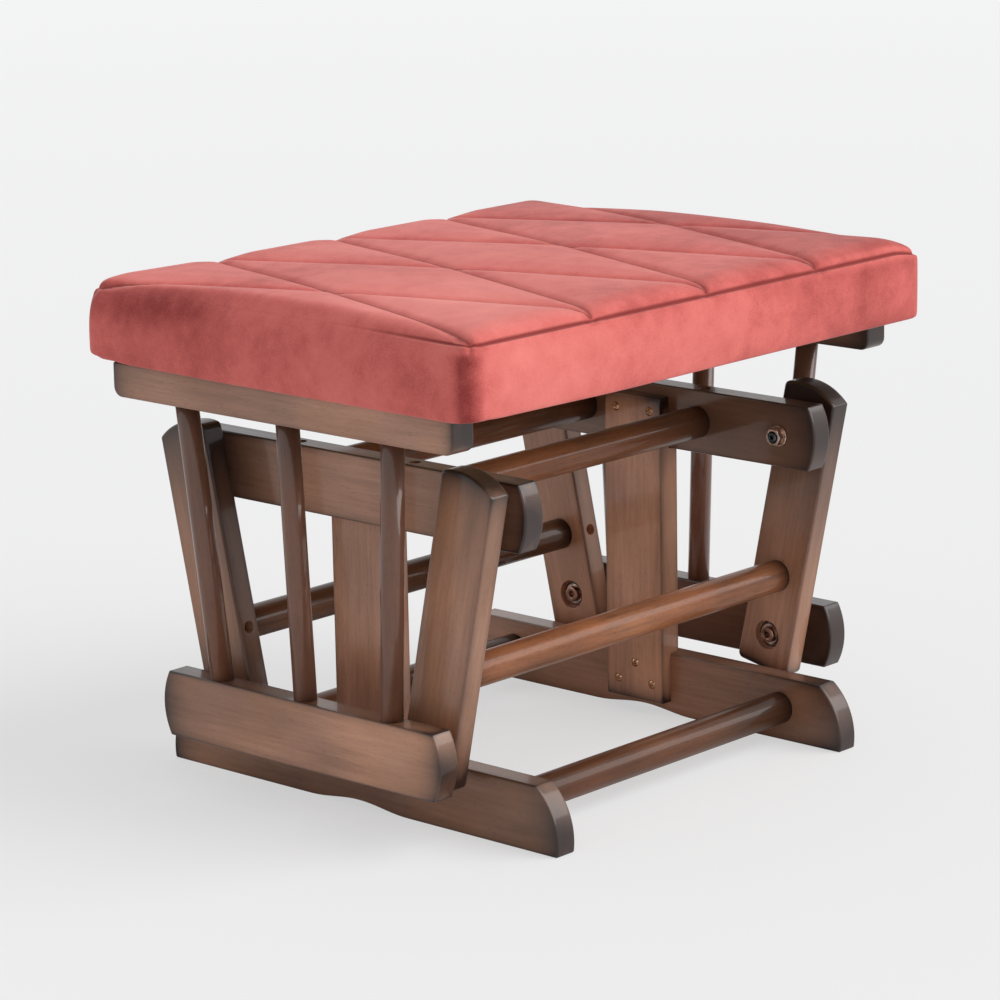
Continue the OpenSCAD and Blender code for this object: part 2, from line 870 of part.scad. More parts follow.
module lower_pivot_bolts() {
    color(bronze) both_sides() both_ends() low_bolt();
}

module lower_pivot_washers() {
    color(bronze) both_sides() both_ends()
        ring_x(washer_x, low_pivot_y, low_pivot_z, washer_d, pin_d + 2 * fit, washer_t);
}

module lower_inner_rings() {
    color(steel) both_sides() both_ends()
        ring_x(arm_in_x + recess_t, low_pivot_y, low_pivot_z, race_d, pin_d + 2 * fit, bearing_w + face_gap);
}

module lower_spacers() {
    start = ring_in_x + bearing_w;
    color(brass) both_sides() both_ends()
        ring_x(start, low_pivot_y, low_pivot_z, race_d, pin_d + 2 * fit, lower_rail_in_x - start);
}

module lower_inserts() {
    color(brass) both_sides() both_ends()
        ring_x(lower_rail_in_x, low_pivot_y, low_pivot_z, insert_d, pin_d + 2 * fit, insert_l);
}

// Cushion: a soft block with drawn-in sides and a crowned top, stitched in crosses side by side

// Steps crowd towards both ends of a cross, so that the rows lie closer along the edges
function crowd(s) = sin(90 * s);

// Pulls a point of the plan into the round corners and draws the sides in between them
function corner_pull(p, hx, hy, r) =
    let (dx = abs(p[0]) - (hx - r), dy = abs(p[1]) - (hy - r))
    dx > 0 && dy > 0
        ? let (k = max(dx, dy) / norm([dx, dy]))
            [sign(p[0]) * (hx - r + dx * k), sign(p[1]) * (hy - r + dy * k)]
        : p;

function side_pull(p) =
    let (u = p[0] / (cushion_w / 2), v = p[1] / (cushion_d / 2))
    [p[0] - side_draw * u * abs(u) * (1 - v * v), p[1] - side_draw * v * abs(v) * (1 - u * u)];

// A point of the plan, as shares of the half width and half depth, drawn in by an inset all round
function plan_point(u, v, inset) =
    let (p = side_pull(corner_pull([u * cushion_w / 2, v * cushion_d / 2],
        cushion_w / 2, cushion_d / 2, cushion_corner_r)))
    [p[0] * (1 - 2 * inset / cushion_w), p[1] * (1 - 2 * inset / cushion_d)];

// Height of the top over the seam: a round shoulder inside the edge, a crown, and the padding
// between the stitched lines, which is nothing on the two diagonals of each cross
crown_fall_share = 0.3;
puff_round_share = 0.6;
function top_rise(u, v, a) =
    let (edge = min((1 - abs(u)) * cushion_w / 2, (1 - abs(v)) * cushion_d / 2),
         near = 1 - min(edge / shoulder_w, 1),
         shoulder = sqrt(1 - near * near),
         crown = crown_h * (1 - crown_fall_share * u * u) * (1 - crown_fall_share * v * v),
         off_line = abs(cos(180 * v) - cos(180 * a)) / 2)
    shoulder * (crown + puff_h * pow(off_line, puff_round_share));

module cushion_form() {
    n = quilt_steps;
    cols = quilt_crosses * n;
    seam_in = cushion_side_h / 25;
    seam_z = cushion_z + cushion_side_h;
    // Shares of the side's height and insets of the rings from the underside up to the seam
    ring_shares = [0, 0.08, 0.3, 0.75, 0.96];
    ring_inset_shares = [3, 0.6, 0, 0, 0.4];
    // A cross's own position, -1 to 1, of each column
    function cross_pos(i) = crowd(2 * (i % n) / n - 1);
    function col_u(i) = i == cols ? 1
        : ((floor(i / n) * 2 + 1) * half_cross + cross_pos(i) * half_cross) / (cushion_w / 2) - 1;
    function col_a(i) = i == cols ? 1 : cross_pos(i);
    function row_v(j) = crowd(2 * j / n - 1);
    top = [for (j = [0 : n]) for (i = [0 : cols])
        let (p = plan_point(col_u(i), row_v(j), seam_in))
        [p[0], p[1], seam_z + top_rise(col_u(i), row_v(j), col_a(i))]];
    // The edge of the grid, once round from the front left corner
    edge_ids = concat([for (i = [0 : cols - 1]) [i, 0]], [for (j = [0 : n - 1]) [cols, j]],
        [for (i = [cols : -1 : 1]) [i, n]], [for (j = [n : -1 : 1]) [0, j]]);
    m = len(edge_ids);
    rings = [for (k = [0 : len(ring_shares) - 1]) for (e = edge_ids)
        let (p = plan_point(col_u(e[0]), row_v(e[1]), seam_in * ring_inset_shares[k]))
        [p[0], p[1], cushion_z + soft_gap + (cushion_side_h - soft_gap) * ring_shares[k]]];
    first = len(top);
    count = len(ring_shares);
    grid_id = function(i, j) j * (cols + 1) + i;
    top_faces = [for (j = [0 : n - 1]) for (i = [0 : cols - 1])
        let (a = grid_id(i, j), b = grid_id(i + 1, j), c = grid_id(i + 1, j + 1), d = grid_id(i, j + 1),
             rising = ((i % n) < n / 2) == (j < n / 2))
        each rising ? [[a, c, b], [a, d, c]] : [[a, d, b], [b, d, c]]];
    side_faces = [for (k = [0 : count - 1]) for (q = [0 : m - 1])
        let (r = (q + 1) % m,
             a = first + k * m + q, b = first + k * m + r,
             c = k == count - 1 ? grid_id(edge_ids[r][0], edge_ids[r][1]) : first + (k + 1) * m + r,
             d = k == count - 1 ? grid_id(edge_ids[q][0], edge_ids[q][1]) : first + (k + 1) * m + q)
        each [[a, c, b], [a, d, c]]];
    middle = first + count * m;
    under_faces = [for (q = [0 : m - 1]) [first + q, first + (q + 1) % m, middle]];
    polyhedron(concat(top, rings, [[0, 0, cushion_z + soft_gap]]), concat(top_faces, side_faces, under_faces));
}

module cushion() {
    color(velvet) difference() {
        cushion_form();
        translate([0, 0, seat_rail_top - over]) linear_extrude(board_ply_t + soft_gap + over)
            round_rect(board_ply_w + 2 * soft_gap, board_ply_d + 2 * soft_gap, cushion_corner_r / 2);
    }
}

foot_rail_left();
foot_rail_right();
front_floor_dowel();
rear_floor_dowel();
upright_left();
upright_right();
top_rail_left();
top_rail_right();
front_top_dowel();
rear_top_dowel();
upright_screws();
base_lock_screws();
top_bearing_rings();
front_arm_left();
front_arm_right();
front_arm_dowel();
front_arm_lock_screws();
front_pivot_studs();
front_pivot_nuts();
front_pivot_washers();
front_inner_rings();
front_sleeves();
front_bearing_rings();
rear_arm_left();
rear_arm_right();
rear_arm_dowel();
rear_arm_lock_screws();
rear_pivot_studs();
rear_pivot_nuts();
rear_pivot_washers();
rear_inner_rings();
rear_sleeves();
rear_bearing_rings();
lower_rail_left();
lower_rail_right();
front_spindle_left();
middle_spindle_left();
rear_spindle_left();
front_spindle_right();
middle_spindle_right();
rear_spindle_right();
seat_rail_left();
seat_rail_right();
front_slat();
rear_slat();
seat_board();
slat_pins();
seat_board_screws();
lower_pivot_bolts();
lower_pivot_washers();
lower_inner_rings();
lower_spacers();
lower_inserts();
cushion();
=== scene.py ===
import bmesh
import bpy
import numpy as np
from mathutils import Matrix


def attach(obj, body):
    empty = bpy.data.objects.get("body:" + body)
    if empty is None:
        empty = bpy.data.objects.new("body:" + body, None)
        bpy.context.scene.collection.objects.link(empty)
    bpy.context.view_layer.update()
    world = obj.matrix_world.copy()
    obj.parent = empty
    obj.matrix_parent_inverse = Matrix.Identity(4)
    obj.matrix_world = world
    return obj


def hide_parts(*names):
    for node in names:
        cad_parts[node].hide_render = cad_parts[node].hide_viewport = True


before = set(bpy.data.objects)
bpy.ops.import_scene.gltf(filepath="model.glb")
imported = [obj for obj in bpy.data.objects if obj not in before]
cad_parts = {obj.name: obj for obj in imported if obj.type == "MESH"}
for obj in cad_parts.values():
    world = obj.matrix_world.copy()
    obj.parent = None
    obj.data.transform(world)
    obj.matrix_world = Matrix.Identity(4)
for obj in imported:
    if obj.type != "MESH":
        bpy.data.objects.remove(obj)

# Glider ottoman: walnut-stained boards and dowels, bronze pivots and a quilted velvet cushion.
# X is the width, the front faces -Y, +Z is up, everything in metres. The dictionaries give
# millimetres, which inMetres or mm brings to metres.
mm = 0.001
scene = bpy.context.scene
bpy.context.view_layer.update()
print("frame loaded:", len(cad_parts), "nodes")


def inMetres(sizes, **plain):
    # millimetres brought to metres; what is plain, such as an angle or a count, stays as it is
    return {**{name: size * mm for name, size in sizes.items()}, **plain}


def gridQuads(rows, cols, wrapCols=False, wrapRows=False):
    # quad (i, j) joins rows i and i + 1 with columns j and j + 1
    i = np.arange(rows if wrapRows else rows - 1)[:, None]
    j = np.arange(cols if wrapCols else cols - 1)[None, :]
    m, k = (i + 1) % rows, (j + 1) % cols
    return np.stack([i * cols + j, i * cols + k, m * cols + k, m * cols + j], -1).reshape(-1, 4)


def buildMesh(name, points, quads, caps=()):
    # Faces are turned outwards: the enclosed volume, a sum of o . (a x b) over every face's edges,
    # is made positive
    points = np.asarray(points, float).reshape(-1, 3)
    loops = np.concatenate([quads.ravel(), *caps]).astype(np.int32)
    totals = np.concatenate([np.full(len(quads), 4), [len(c) for c in caps]]).astype(np.int32)
    starts = np.concatenate([[0], np.cumsum(totals)[:-1]]).astype(np.int32)
    face = np.repeat(np.arange(len(totals)), totals)
    place = np.arange(len(loops)) - starts[face]
    following = starts[face] + (place + 1) % totals[face]
    corner = points[loops]
    volume = np.sum(corner[starts[face]] * np.cross(corner, corner[following]))
    mesh = bpy.data.meshes.new(name)
    mesh.vertices.add(len(points))
    mesh.vertices.foreach_set("co", points.astype(np.float32).ravel())
    mesh.loops.add(len(loops))
    mesh.loops.foreach_set("vertex_index", loops)
    mesh.polygons.add(len(totals))
    mesh.polygons.foreach_set("loop_start", starts)
    mesh.polygons.foreach_set("use_smooth", totals == 4)
    mesh.update(calc_edges=True)
    if volume < 0:
        mesh.flip_normals()
    obj = bpy.data.objects.new(name, mesh)
    scene.collection.objects.link(obj)
    return obj


def joinParts(name, parts):
    # one mesh out of several closed ones
    with bpy.context.temp_override(active_object=parts[0], selected_editable_objects=parts, selected_objects=parts):
        bpy.ops.object.join()
    parts[0].name = parts[0].data.name = name
    return parts[0]


def readPoints(mesh):
    flat = np.zeros(len(mesh.vertices) * 3, np.float32)
    mesh.vertices.foreach_get("co", flat)
    return flat.reshape(-1, 3).astype(float)


def addMark(mesh, name, values):
    # a number or a vector on every point, for the materials to read
    kind, slot = ("FLOAT", "value") if values.ndim == 1 else ("FLOAT_VECTOR", "vector")
    mesh.attributes.new(name, kind, "POINT").data.foreach_set(slot, values.astype(np.float32).ravel())


def readMark(mesh, name, slot="value", width=1):
    values = np.zeros(len(mesh.vertices) * width, np.float32)
    mesh.attributes[name].data.foreach_get(slot, values)
    return values.astype(float)


def applied(obj):
    # the mesh as its modifiers leave it, kept in place of the old one
    graph = bpy.context.evaluated_depsgraph_get()
    mesh = bpy.data.meshes.new_from_object(obj.evaluated_get(graph), preserve_all_data_layers=True, depsgraph=graph)
    obj.modifiers.clear()
    obj.data = mesh
    mesh.name = obj.name


def crispFaces(obj, largest=150e-6):
    # faces larger than this are plane and shaded flat, those of curves stay smooth, rims are sharp
    mesh = obj.data
    area = np.zeros(len(mesh.polygons))
    mesh.polygons.foreach_get("area", area)
    mesh.set_sharp_from_angle(angle=np.radians(35))
    mesh.polygons.foreach_set("use_smooth", area < largest)
    mesh.update()
    return obj


def sideAxes(axis):
    # the axis and two more unit vectors square to it and to each other
    axis = np.asarray(axis, float) / np.linalg.norm(axis)
    helper = np.array([0.0, 0.0, 1.0]) if abs(axis[2]) < 0.9 else np.array([0.0, 1.0, 0.0])
    first = np.cross(helper, axis)
    first /= np.linalg.norm(first)
    return axis, first, np.cross(axis, first)


def turned(name, place, axis, profile, steps=48, shape=None, bored=False):
    # A profile of (distance s along the axis, radius r) turned round it:
    # point = place + s * axis + r * (cos a * first + sin a * second). The function shape changes
    # s and r by the angle a; a bored piece's profile runs once round its section, as a ring's does.
    axis, first, second = sideAxes(axis)
    profile = np.asarray(profile, float)
    angle = np.linspace(0, 2 * np.pi, steps, endpoint=False)
    reach, radius = (np.repeat(profile[:, k:k + 1], steps, 1) for k in (0, 1))
    if shape is not None:
        reach, radius = shape(reach, radius, angle[None, :])
    ring = np.cos(angle)[:, None] * first + np.sin(angle)[:, None] * second
    points = np.asarray(place, float) + reach[..., None] * axis + radius[..., None] * ring
    rows = len(profile)
    caps = [] if bored else [np.arange(steps)[::-1], np.arange(steps) + (rows - 1) * steps]
    return buildMesh(name, points, gridQuads(rows, steps, True, bored), caps)


def roundCorners(points, radius, steps=5, lead=0.6 * mm):
    # Swaps each sharp corner of a closed outline for an arc tangent to both sides, with a
    # point a little before and after it so that the flat sides stay flat when shaded
    points = np.asarray(points, float)
    before = points - np.roll(points, 1, 0)
    after = np.roll(points, -1, 0) - points
    before /= np.linalg.norm(before, axis=1)[:, None]
    after /= np.linalg.norm(after, axis=1)[:, None]
    turn = np.arctan2(before[:, 0] * after[:, 1] - before[:, 1] * after[:, 0], np.sum(before * after, 1))
    sharp = np.abs(turn) > np.radians(18)
    radius = np.broadcast_to(radius, len(points))[sharp][:, None]
    a, b, corner, phi = before[sharp], after[sharp], points[sharp], turn[sharp][:, None]
    cut = radius * np.tan(np.abs(phi) / 2)
    normal = np.stack([-a[:, 1], a[:, 0]], 1) * np.sign(phi)
    sweep = np.abs(phi) * np.linspace(0, 1, steps + 1)[None, :]
    arc = (corner - a * cut)[:, None] + radius[..., None] * (
        np.sin(sweep)[..., None] * a[:, None] + (1 - np.cos(sweep))[..., None] * normal[:, None])
    arc = np.concatenate([(corner - a * (cut + lead))[:, None], arc, (corner + b * (cut + lead))[:, None]], 1)
    arcOrder = np.nonzero(sharp)[0][:, None] + np.linspace(0, 0.9, steps + 3)
    order = np.concatenate([np.nonzero(~sharp)[0], arcOrder.ravel()])
    return np.concatenate([points[~sharp], arc.reshape(-1, 2)])[np.argsort(order)]


def mirrored(half):
    # an outline's right half with its left half after it, or a bar's profile from both of its ends
    return np.concatenate([half, half[::-1] * [-1, 1]])


def outwardOf(outline):
    # mitred outward directions of a closed outline that runs anticlockwise
    step = np.roll(outline, -1, 0) - outline
    step /= np.linalg.norm(step, axis=1)[:, None]
    normal = np.stack([step[:, 1], -step[:, 0]], 1)
    last = np.roll(normal, 1, 0)
    return (normal + last) / (1 + np.sum(normal * last, 1))[:, None]


def carriedBoard(name, outline, axes, start, end, ease, steps=4):
    # An outline carried through the board's thickness. At angle t of an eased edge it is drawn in
    # by ease * (1 - sin t) and stands ease * (1 - cos t) inside the face.
    origin, across, up, through = (np.asarray(v, float) for v in axes)
    t = np.linspace(0, np.pi / 2, steps + 1)
    inset = np.append(ease * (1 - np.sin(t)), 0)
    depth = np.append(ease * (1 - np.cos(t)), 1.6 * ease)
    inset = np.concatenate([inset, inset[::-1]])[:, None, None]
    depth = np.concatenate([start + depth, end - depth[::-1]])[:, None, None]
    flat = outline[None] - inset * outwardOf(outline)[None]
    points = origin + flat[..., :1] * across + flat[..., 1:] * up + depth * through
    rows, count = len(inset), len(outline)
    caps = [np.arange(count)[::-1], np.arange(count) + (rows - 1) * count]
    return crispFaces(buildMesh(name, points, gridQuads(rows, count, wrapCols=True), caps))


def cutBores(board, bores, lip=0.35 * mm, past=2 * mm):
    # bores: (mouth, direction into the wood, radius, depth, True where it comes out behind)
    cutters = []
    for number, (mouth, direction, radius, depth, through) in enumerate(bores):
        profile = [(-past, radius + lip), (0, radius + lip), (lip, radius)]
        behind = [(depth - lip, radius), (depth, radius + lip), (depth + past, radius + lip)]
        profile += behind if through else [(depth, radius)]
        cutters.append(turned(f"cutter{number}", mouth, direction, profile))
    cutter = joinParts("cutter", cutters)
    change = board.modifiers.new("bores", "BOOLEAN")
    change.operation, change.solver, change.object, change.use_self = "DIFFERENCE", "EXACT", cutter, True
    applied(board)
    bpy.data.objects.remove(cutter)
    crispFaces(board)


def giveGrain(obj, origin, along, across, seed, half, stainAndLight, sprayAndShade, narrowFaceShade=0.0):
    # Each point's own place on the board: along the grain, across it and through it, with the half
    # sizes beside it, how light the stain came out from the grain's start to its end, partly real stain
    # and partly painted light and shade, how far the dark spray with painted shade reaches from the
    # start, the end and the long edges, and how dark the painted shade on the narrow faces is
    along, across = np.asarray(along, float), np.asarray(across, float)
    through = np.cross(along, across)
    place = (readPoints(obj.data) - np.asarray(origin, float)) @ np.stack([along, across, through], 1)
    if half is None:
        low, high = place.min(0), place.max(0)
        place -= (low + high) / 2
        half = (high - low) / 2
    share = np.clip((place[:, 0] / half[0] + 1) / 2, 0, 1)
    every = np.ones(len(place))
    marks = {"grainPlace": place, "grainHalf": every[:, None] * half,
             "grainSprayAndShade": every[:, None] * np.array(sprayAndShade) * mm, "grainSeed": every * seed,
             "paintedNarrowShade": every * narrowFaceShade, "grainStainAndLight": stainAndLight[0] + (stainAndLight[1] - stainAndLight[0]) * share}
    for name, values in marks.items():
        addMark(obj.data, name, values)


def finishPiece(obj, body, slot, material, *nodes):
    obj.data.materials.clear()
    obj.data.materials.append(material)
    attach(obj, body)
    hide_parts(*nodes)


def plug(node, values):
    # a socket is linked, and anything else becomes the input's own value
    for key, value in dict(values).items():
        if isinstance(value, bpy.types.NodeSocket):
            node.id_data.links.new(value, node.inputs[key])
        else:
            node.inputs[key].default_value = value
    return node


def addNode(tree, kind, values=(), **settings):
    node = tree.nodes.new(kind)
    for key, value in settings.items():
        setattr(node, key, value)
    return plug(node, values)


def newMaterial(name):
    material = bpy.data.materials.new(name)
    material.use_nodes = True
    tree = material.node_tree
    tree.nodes.clear()
    shader = addNode(tree, "ShaderNodeBsdfPrincipled")
    addNode(tree, "ShaderNodeOutputMaterial", {"Surface": shader.outputs[0]})
    return material, tree, shader


def maths(tree, operation, a, b=0.0, clamp=False):
    return addNode(tree, "ShaderNodeMath", {0: a, 1: b}, operation=operation, use_clamp=clamp).outputs[0]


def plus(tree, a, b, clamp=False):
    return maths(tree, "ADD", a, b, clamp)


def minus(tree, a, b):
    return maths(tree, "SUBTRACT", a, b)


def times(tree, a, b):
    return maths(tree, "MULTIPLY", a, b)


def vectorMaths(tree, operation, a, b):
    return addNode(tree, "ShaderNodeVectorMath", {0: a, 1: b}, operation=operation).outputs[0]


def mixColour(tree, factor, a, b):
    return addNode(tree, "ShaderNodeMix", {0: factor, 6: a, 7: b}, data_type="RGBA").outputs[2]


def noise(tree, vector, scale, detail=2.0, roughness=0.5):
    values = {"Vector": vector, "Scale": scale, "Detail": detail, "Roughness": roughness}
    return addNode(tree, "ShaderNodeTexNoise", values).outputs["Fac"]


def remap(tree, value, low, high, toLow=0.0, toHigh=1.0):
    return addNode(tree, "ShaderNodeMapRange", {0: value, 1: low, 2: high, 3: toLow, 4: toHigh}).outputs[0]


def mark(tree, name, output="Fac"):
    return addNode(tree, "ShaderNodeAttribute", attribute_name=name).outputs[output]


def parts(tree, vector):
    return addNode(tree, "ShaderNodeSeparateXYZ", {0: vector}).outputs


def ownPlace(tree):
    return addNode(tree, "ShaderNodeTexCoord").outputs["Object"]


def bumps(tree, height, strength, distance, *under):
    values = {"Strength": strength, "Distance": distance, "Height": height}
    values.update({"Normal": normal for normal in under})
    return addNode(tree, "ShaderNodeBump", values).outputs[0]


def rgb(red, green, blue):
    # a colour as it is seen on a screen, 0 to 255, as the linear one that a shader takes
    c = np.array([red, green, blue]) / 255
    return (*np.where(c <= 0.04045, c / 12.92, ((c + 0.055) / 1.055) ** 2.4).tolist(), 1.0)


# how fine each pattern is, in cells to the metre along the grain, across it and through it
grainScales = {"broad": (7, 45, 45), "streak": (16, 300, 300), "pores": (150, 1500, 1500), "patch": (9, 16, 16)}


def makeWood(name, look):
    # Stained and lacquered wood: tone streaks and short pores drawn out along the grain, and the
    # dark shade that falls off by exp(-distance / reach) from the ends and the long edges, partly a
    # real sprayed finish and partly painted shade where shadow falls; the narrow faces take painted
    # shade, and the stain level carries painted light and shade as well
    material, tree, shader = newMaterial(name)
    place, halfSizes, reaches = (mark(tree, name, "Vector") for name in ("grainPlace", "grainHalf", "grainSprayAndShade"))
    seed, stainAndLight, edge = (mark(tree, name) for name in ("grainSeed", "grainStainAndLight", "paintedNarrowShade"))
    shift = addNode(tree, "ShaderNodeCombineXYZ", {0: times(tree, seed, 3.71), 1: times(tree, seed, 1.93), 2: seed})
    moved = vectorMaths(tree, "ADD", place, shift.outputs[0])

    def pattern(scales, detail, roughness=0.5):
        return noise(tree, vectorMaths(tree, "MULTIPLY", moved, scales), 1.0, detail, roughness)

    broad, streak = pattern(grainScales["broad"], 3.0, 0.55), pattern(grainScales["streak"], 4.0, 0.6)
    pores, patch = pattern(grainScales["pores"], 1.0), pattern(grainScales["patch"], 1.5)
    cloud = noise(tree, moved, 14.0)
    tone = plus(tree, times(tree, broad, 0.62), times(tree, streak, 0.38))
    colour = mixColour(tree, remap(tree, tone, 0.36, 0.64), look["low"], look["high"])
    colour = mixColour(tree, remap(tree, cloud, 0.35, 0.7, 0.0, look["cloud"]), colour, look["warm"])
    # the stain level is partly painted light and shade, lighter or darker board by board
    uneven = times(tree, stainAndLight, remap(tree, patch, 0.3, 0.7, 1 - look["uneven"], 1 + look["uneven"]))
    grey = addNode(tree, "ShaderNodeCombineXYZ", {0: uneven, 1: uneven, 2: uneven}).outputs[0]
    colour = vectorMaths(tree, "MULTIPLY", colour, grey)
    fleck = remap(tree, pores, look["poreFrom"], look["poreFrom"] + 0.09, 0.0, look["pore"])
    colour = mixColour(tree, fleck, colour, look["sprayAndShade"])
    here, half, reach = (parts(tree, vector) for vector in (place, halfSizes, reaches))
    wobble = times(tree, minus(tree, patch, 0.5), look["wobble"] * mm)

    def fall(distance, byReach, waver=wobble):
        far = maths(tree, "DIVIDE", plus(tree, distance, waver), times(tree, byReach, -1.0))
        return maths(tree, "EXPONENT", far)

    def inside(k):
        return minus(tree, half[k], maths(tree, "ABSOLUTE", here[k]))

    # painted shade together with the real dark spray, falling off from both ends
    ends = plus(tree, fall(plus(tree, half[0], here[0]), reach[0]), fall(minus(tree, half[0], here[0]), reach[1]))
    # a long edge is where both the distance across and the one through come to nothing
    sides = fall(maths(tree, "MAXIMUM", inside(1), inside(2)), reach[2], times(tree, wobble, 0.12))
    # painted shade on the narrow faces
    narrowFaceShade = times(tree, remap(tree, inside(1), 0.0, 1.8 * mm, 1.0, 0.0), edge)
    edges = plus(tree, times(tree, sides, look["sideShade"]), narrowFaceShade)
    shade = plus(tree, times(tree, ends, look["endShade"]), edges, True)
    plug(shader, {"Base Color": mixColour(tree, shade, colour, look["sprayAndShade"]),
                  "Roughness": remap(tree, streak, 0.3, 0.7, look["rough"] - 0.04, look["rough"] + 0.06),
                  "Normal": bumps(tree, minus(tree, streak, fleck), 0.25, 0.25 * mm),
                  "Specular IOR Level": look["gloss"], "Coat Weight": look["coat"],
                  "Coat Roughness": look["coatRough"]})
    return material


# the spray colour is the dark of the sprayed finish and of the painted shade, and of the pores
woodLooks = {
    "walnut": {"low": rgb(136, 98, 79), "high": rgb(172, 128, 105), "warm": rgb(174, 120, 82),
               "sprayAndShade": rgb(40, 25, 21), "cloud": 0.4, "uneven": 0.24,
               "pore": 0.26, "poreFrom": 0.62, "wobble": 16, "endShade": 1.0,
               "sideShade": 0.42, "rough": 0.36, "gloss": 0.3, "coat": 0.45, "coatRough": 0.07},
    "dowel_wood": {"low": rgb(90, 57, 40), "high": rgb(146, 96, 66), "warm": rgb(156, 92, 56),
                   "sprayAndShade": rgb(34, 19, 13), "cloud": 0.5, "uneven": 0.26,
                   "pore": 0.32, "poreFrom": 0.6, "wobble": 10, "endShade": 0.95,
                   "sideShade": 0.0, "rough": 0.36, "gloss": 0.12, "coat": 0.28, "coatRough": 0.06},
    "spindle_wood": {"low": rgb(84, 56, 46), "high": rgb(112, 78, 64), "warm": rgb(130, 80, 50),
                     "sprayAndShade": rgb(40, 25, 20), "cloud": 0.4, "uneven": 0.14,
                     "pore": 0.3, "poreFrom": 0.62, "wobble": 8, "endShade": 0.4,
                     "sideShade": 0.0, "rough": 0.34, "gloss": 0.3, "coat": 0.6, "coatRough": 0.08},
}
woods = {name: makeWood(name, look) for name, look in woodLooks.items()}


def makeMetal(name, look):
    # Metal with an uneven patina: dark blotches in the plating and a fine grain in its gloss
    material, tree, shader = newMaterial(name)
    place = ownPlace(tree)
    blotch = noise(tree, place, look["blotchScale"], 3.0, 0.6)
    grain = noise(tree, place, 2600.0)
    gloss = remap(tree, blotch, 0.35, 0.65, look["rough"], look["rough"] + 0.14)
    plug(shader, {"Base Color": mixColour(tree, remap(tree, blotch, 0.38, 0.66), look["bright"], look["dull"]),
                  "Roughness": plus(tree, gloss, times(tree, grain, 0.06)),
                  "Normal": bumps(tree, grain, 0.05, 0.02 * mm), "Metallic": 1.0})
    return material


metalLooks = {
    "bronze_steel": {"bright": rgb(216, 190, 176), "dull": rgb(134, 112, 102), "blotchScale": 200.0, "rough": 0.16},
    "brass": {"bright": rgb(236, 196, 158), "dull": rgb(136, 98, 72), "blotchScale": 400.0, "rough": 0.16},
    "bearing_steel": {"bright": rgb(132, 106, 94), "dull": rgb(78, 62, 54), "blotchScale": 300.0, "rough": 0.34},
    "bolt_bronze": {"bright": rgb(176, 136, 118), "dull": rgb(112, 86, 74), "blotchScale": 160.0, "rough": 0.26},
    "stud_steel": {"bright": rgb(86, 96, 99), "dull": rgb(40, 44, 46), "blotchScale": 300.0, "rough": 0.3},
}
metals = {name: makeMetal(name, look) for name, look in metalLooks.items()}
print("materials made")


def stood(obj, axes, place):
    # stands a camera or a lamp at a place, its own X, Y and Z along the three axes
    turn = np.eye(4)
    turn[:3, :3] = np.stack(axes, 1)
    turn[:3, 3] = place
    obj.matrix_world = Matrix(turn.tolist())
    scene.collection.objects.link(obj)
    return obj


cameraSettings = {"yaw": -47.611, "pitch": 13.245, "roll": -1.072, "lens": 140.98,
                  "place": (-2234.938, -2029.078, 918.985)}


def makeCamera(settings):
    # looks along -back, back = (sin yaw cos pitch, -cos yaw cos pitch, sin pitch), turned about it by roll
    yaw, pitch, roll = np.radians([settings["yaw"], settings["pitch"], settings["roll"]])
    back = np.array([np.sin(yaw) * np.cos(pitch), -np.cos(yaw) * np.cos(pitch), np.sin(pitch)])
    right = np.cross(-back, [0, 0, 1])
    right /= np.linalg.norm(right)
    up = np.cross(right, -back)
    right, up = np.cos(roll) * right + np.sin(roll) * up, np.cos(roll) * up - np.sin(roll) * right
    data = bpy.data.cameras.new("camera")
    data.lens, data.sensor_width = settings["lens"], 36
    camera = bpy.data.objects.new("camera", data)
    scene.camera = stood(camera, [right, up, back], np.array(settings["place"]) * mm)


stageSettings = {"floorHalf": 20.0, "floorColour": (0.87, 0.87, 0.87, 1), "floorShade": (0.8, 0.8, 0.8, 1),
                 "floorNear": (0.865, 0.867, 0.872, 1), "floorFar": (0.93, 0.932, 0.937, 1), "floorGlow": 0.62,
                 "worldLevel": 0.55, "worldWhite": (0.88, 0.88, 0.885, 1), "keyLevel": 2.3, "keySpread": 56.0,
                 "keyFrom": (0.42, -0.74, 0.62)}


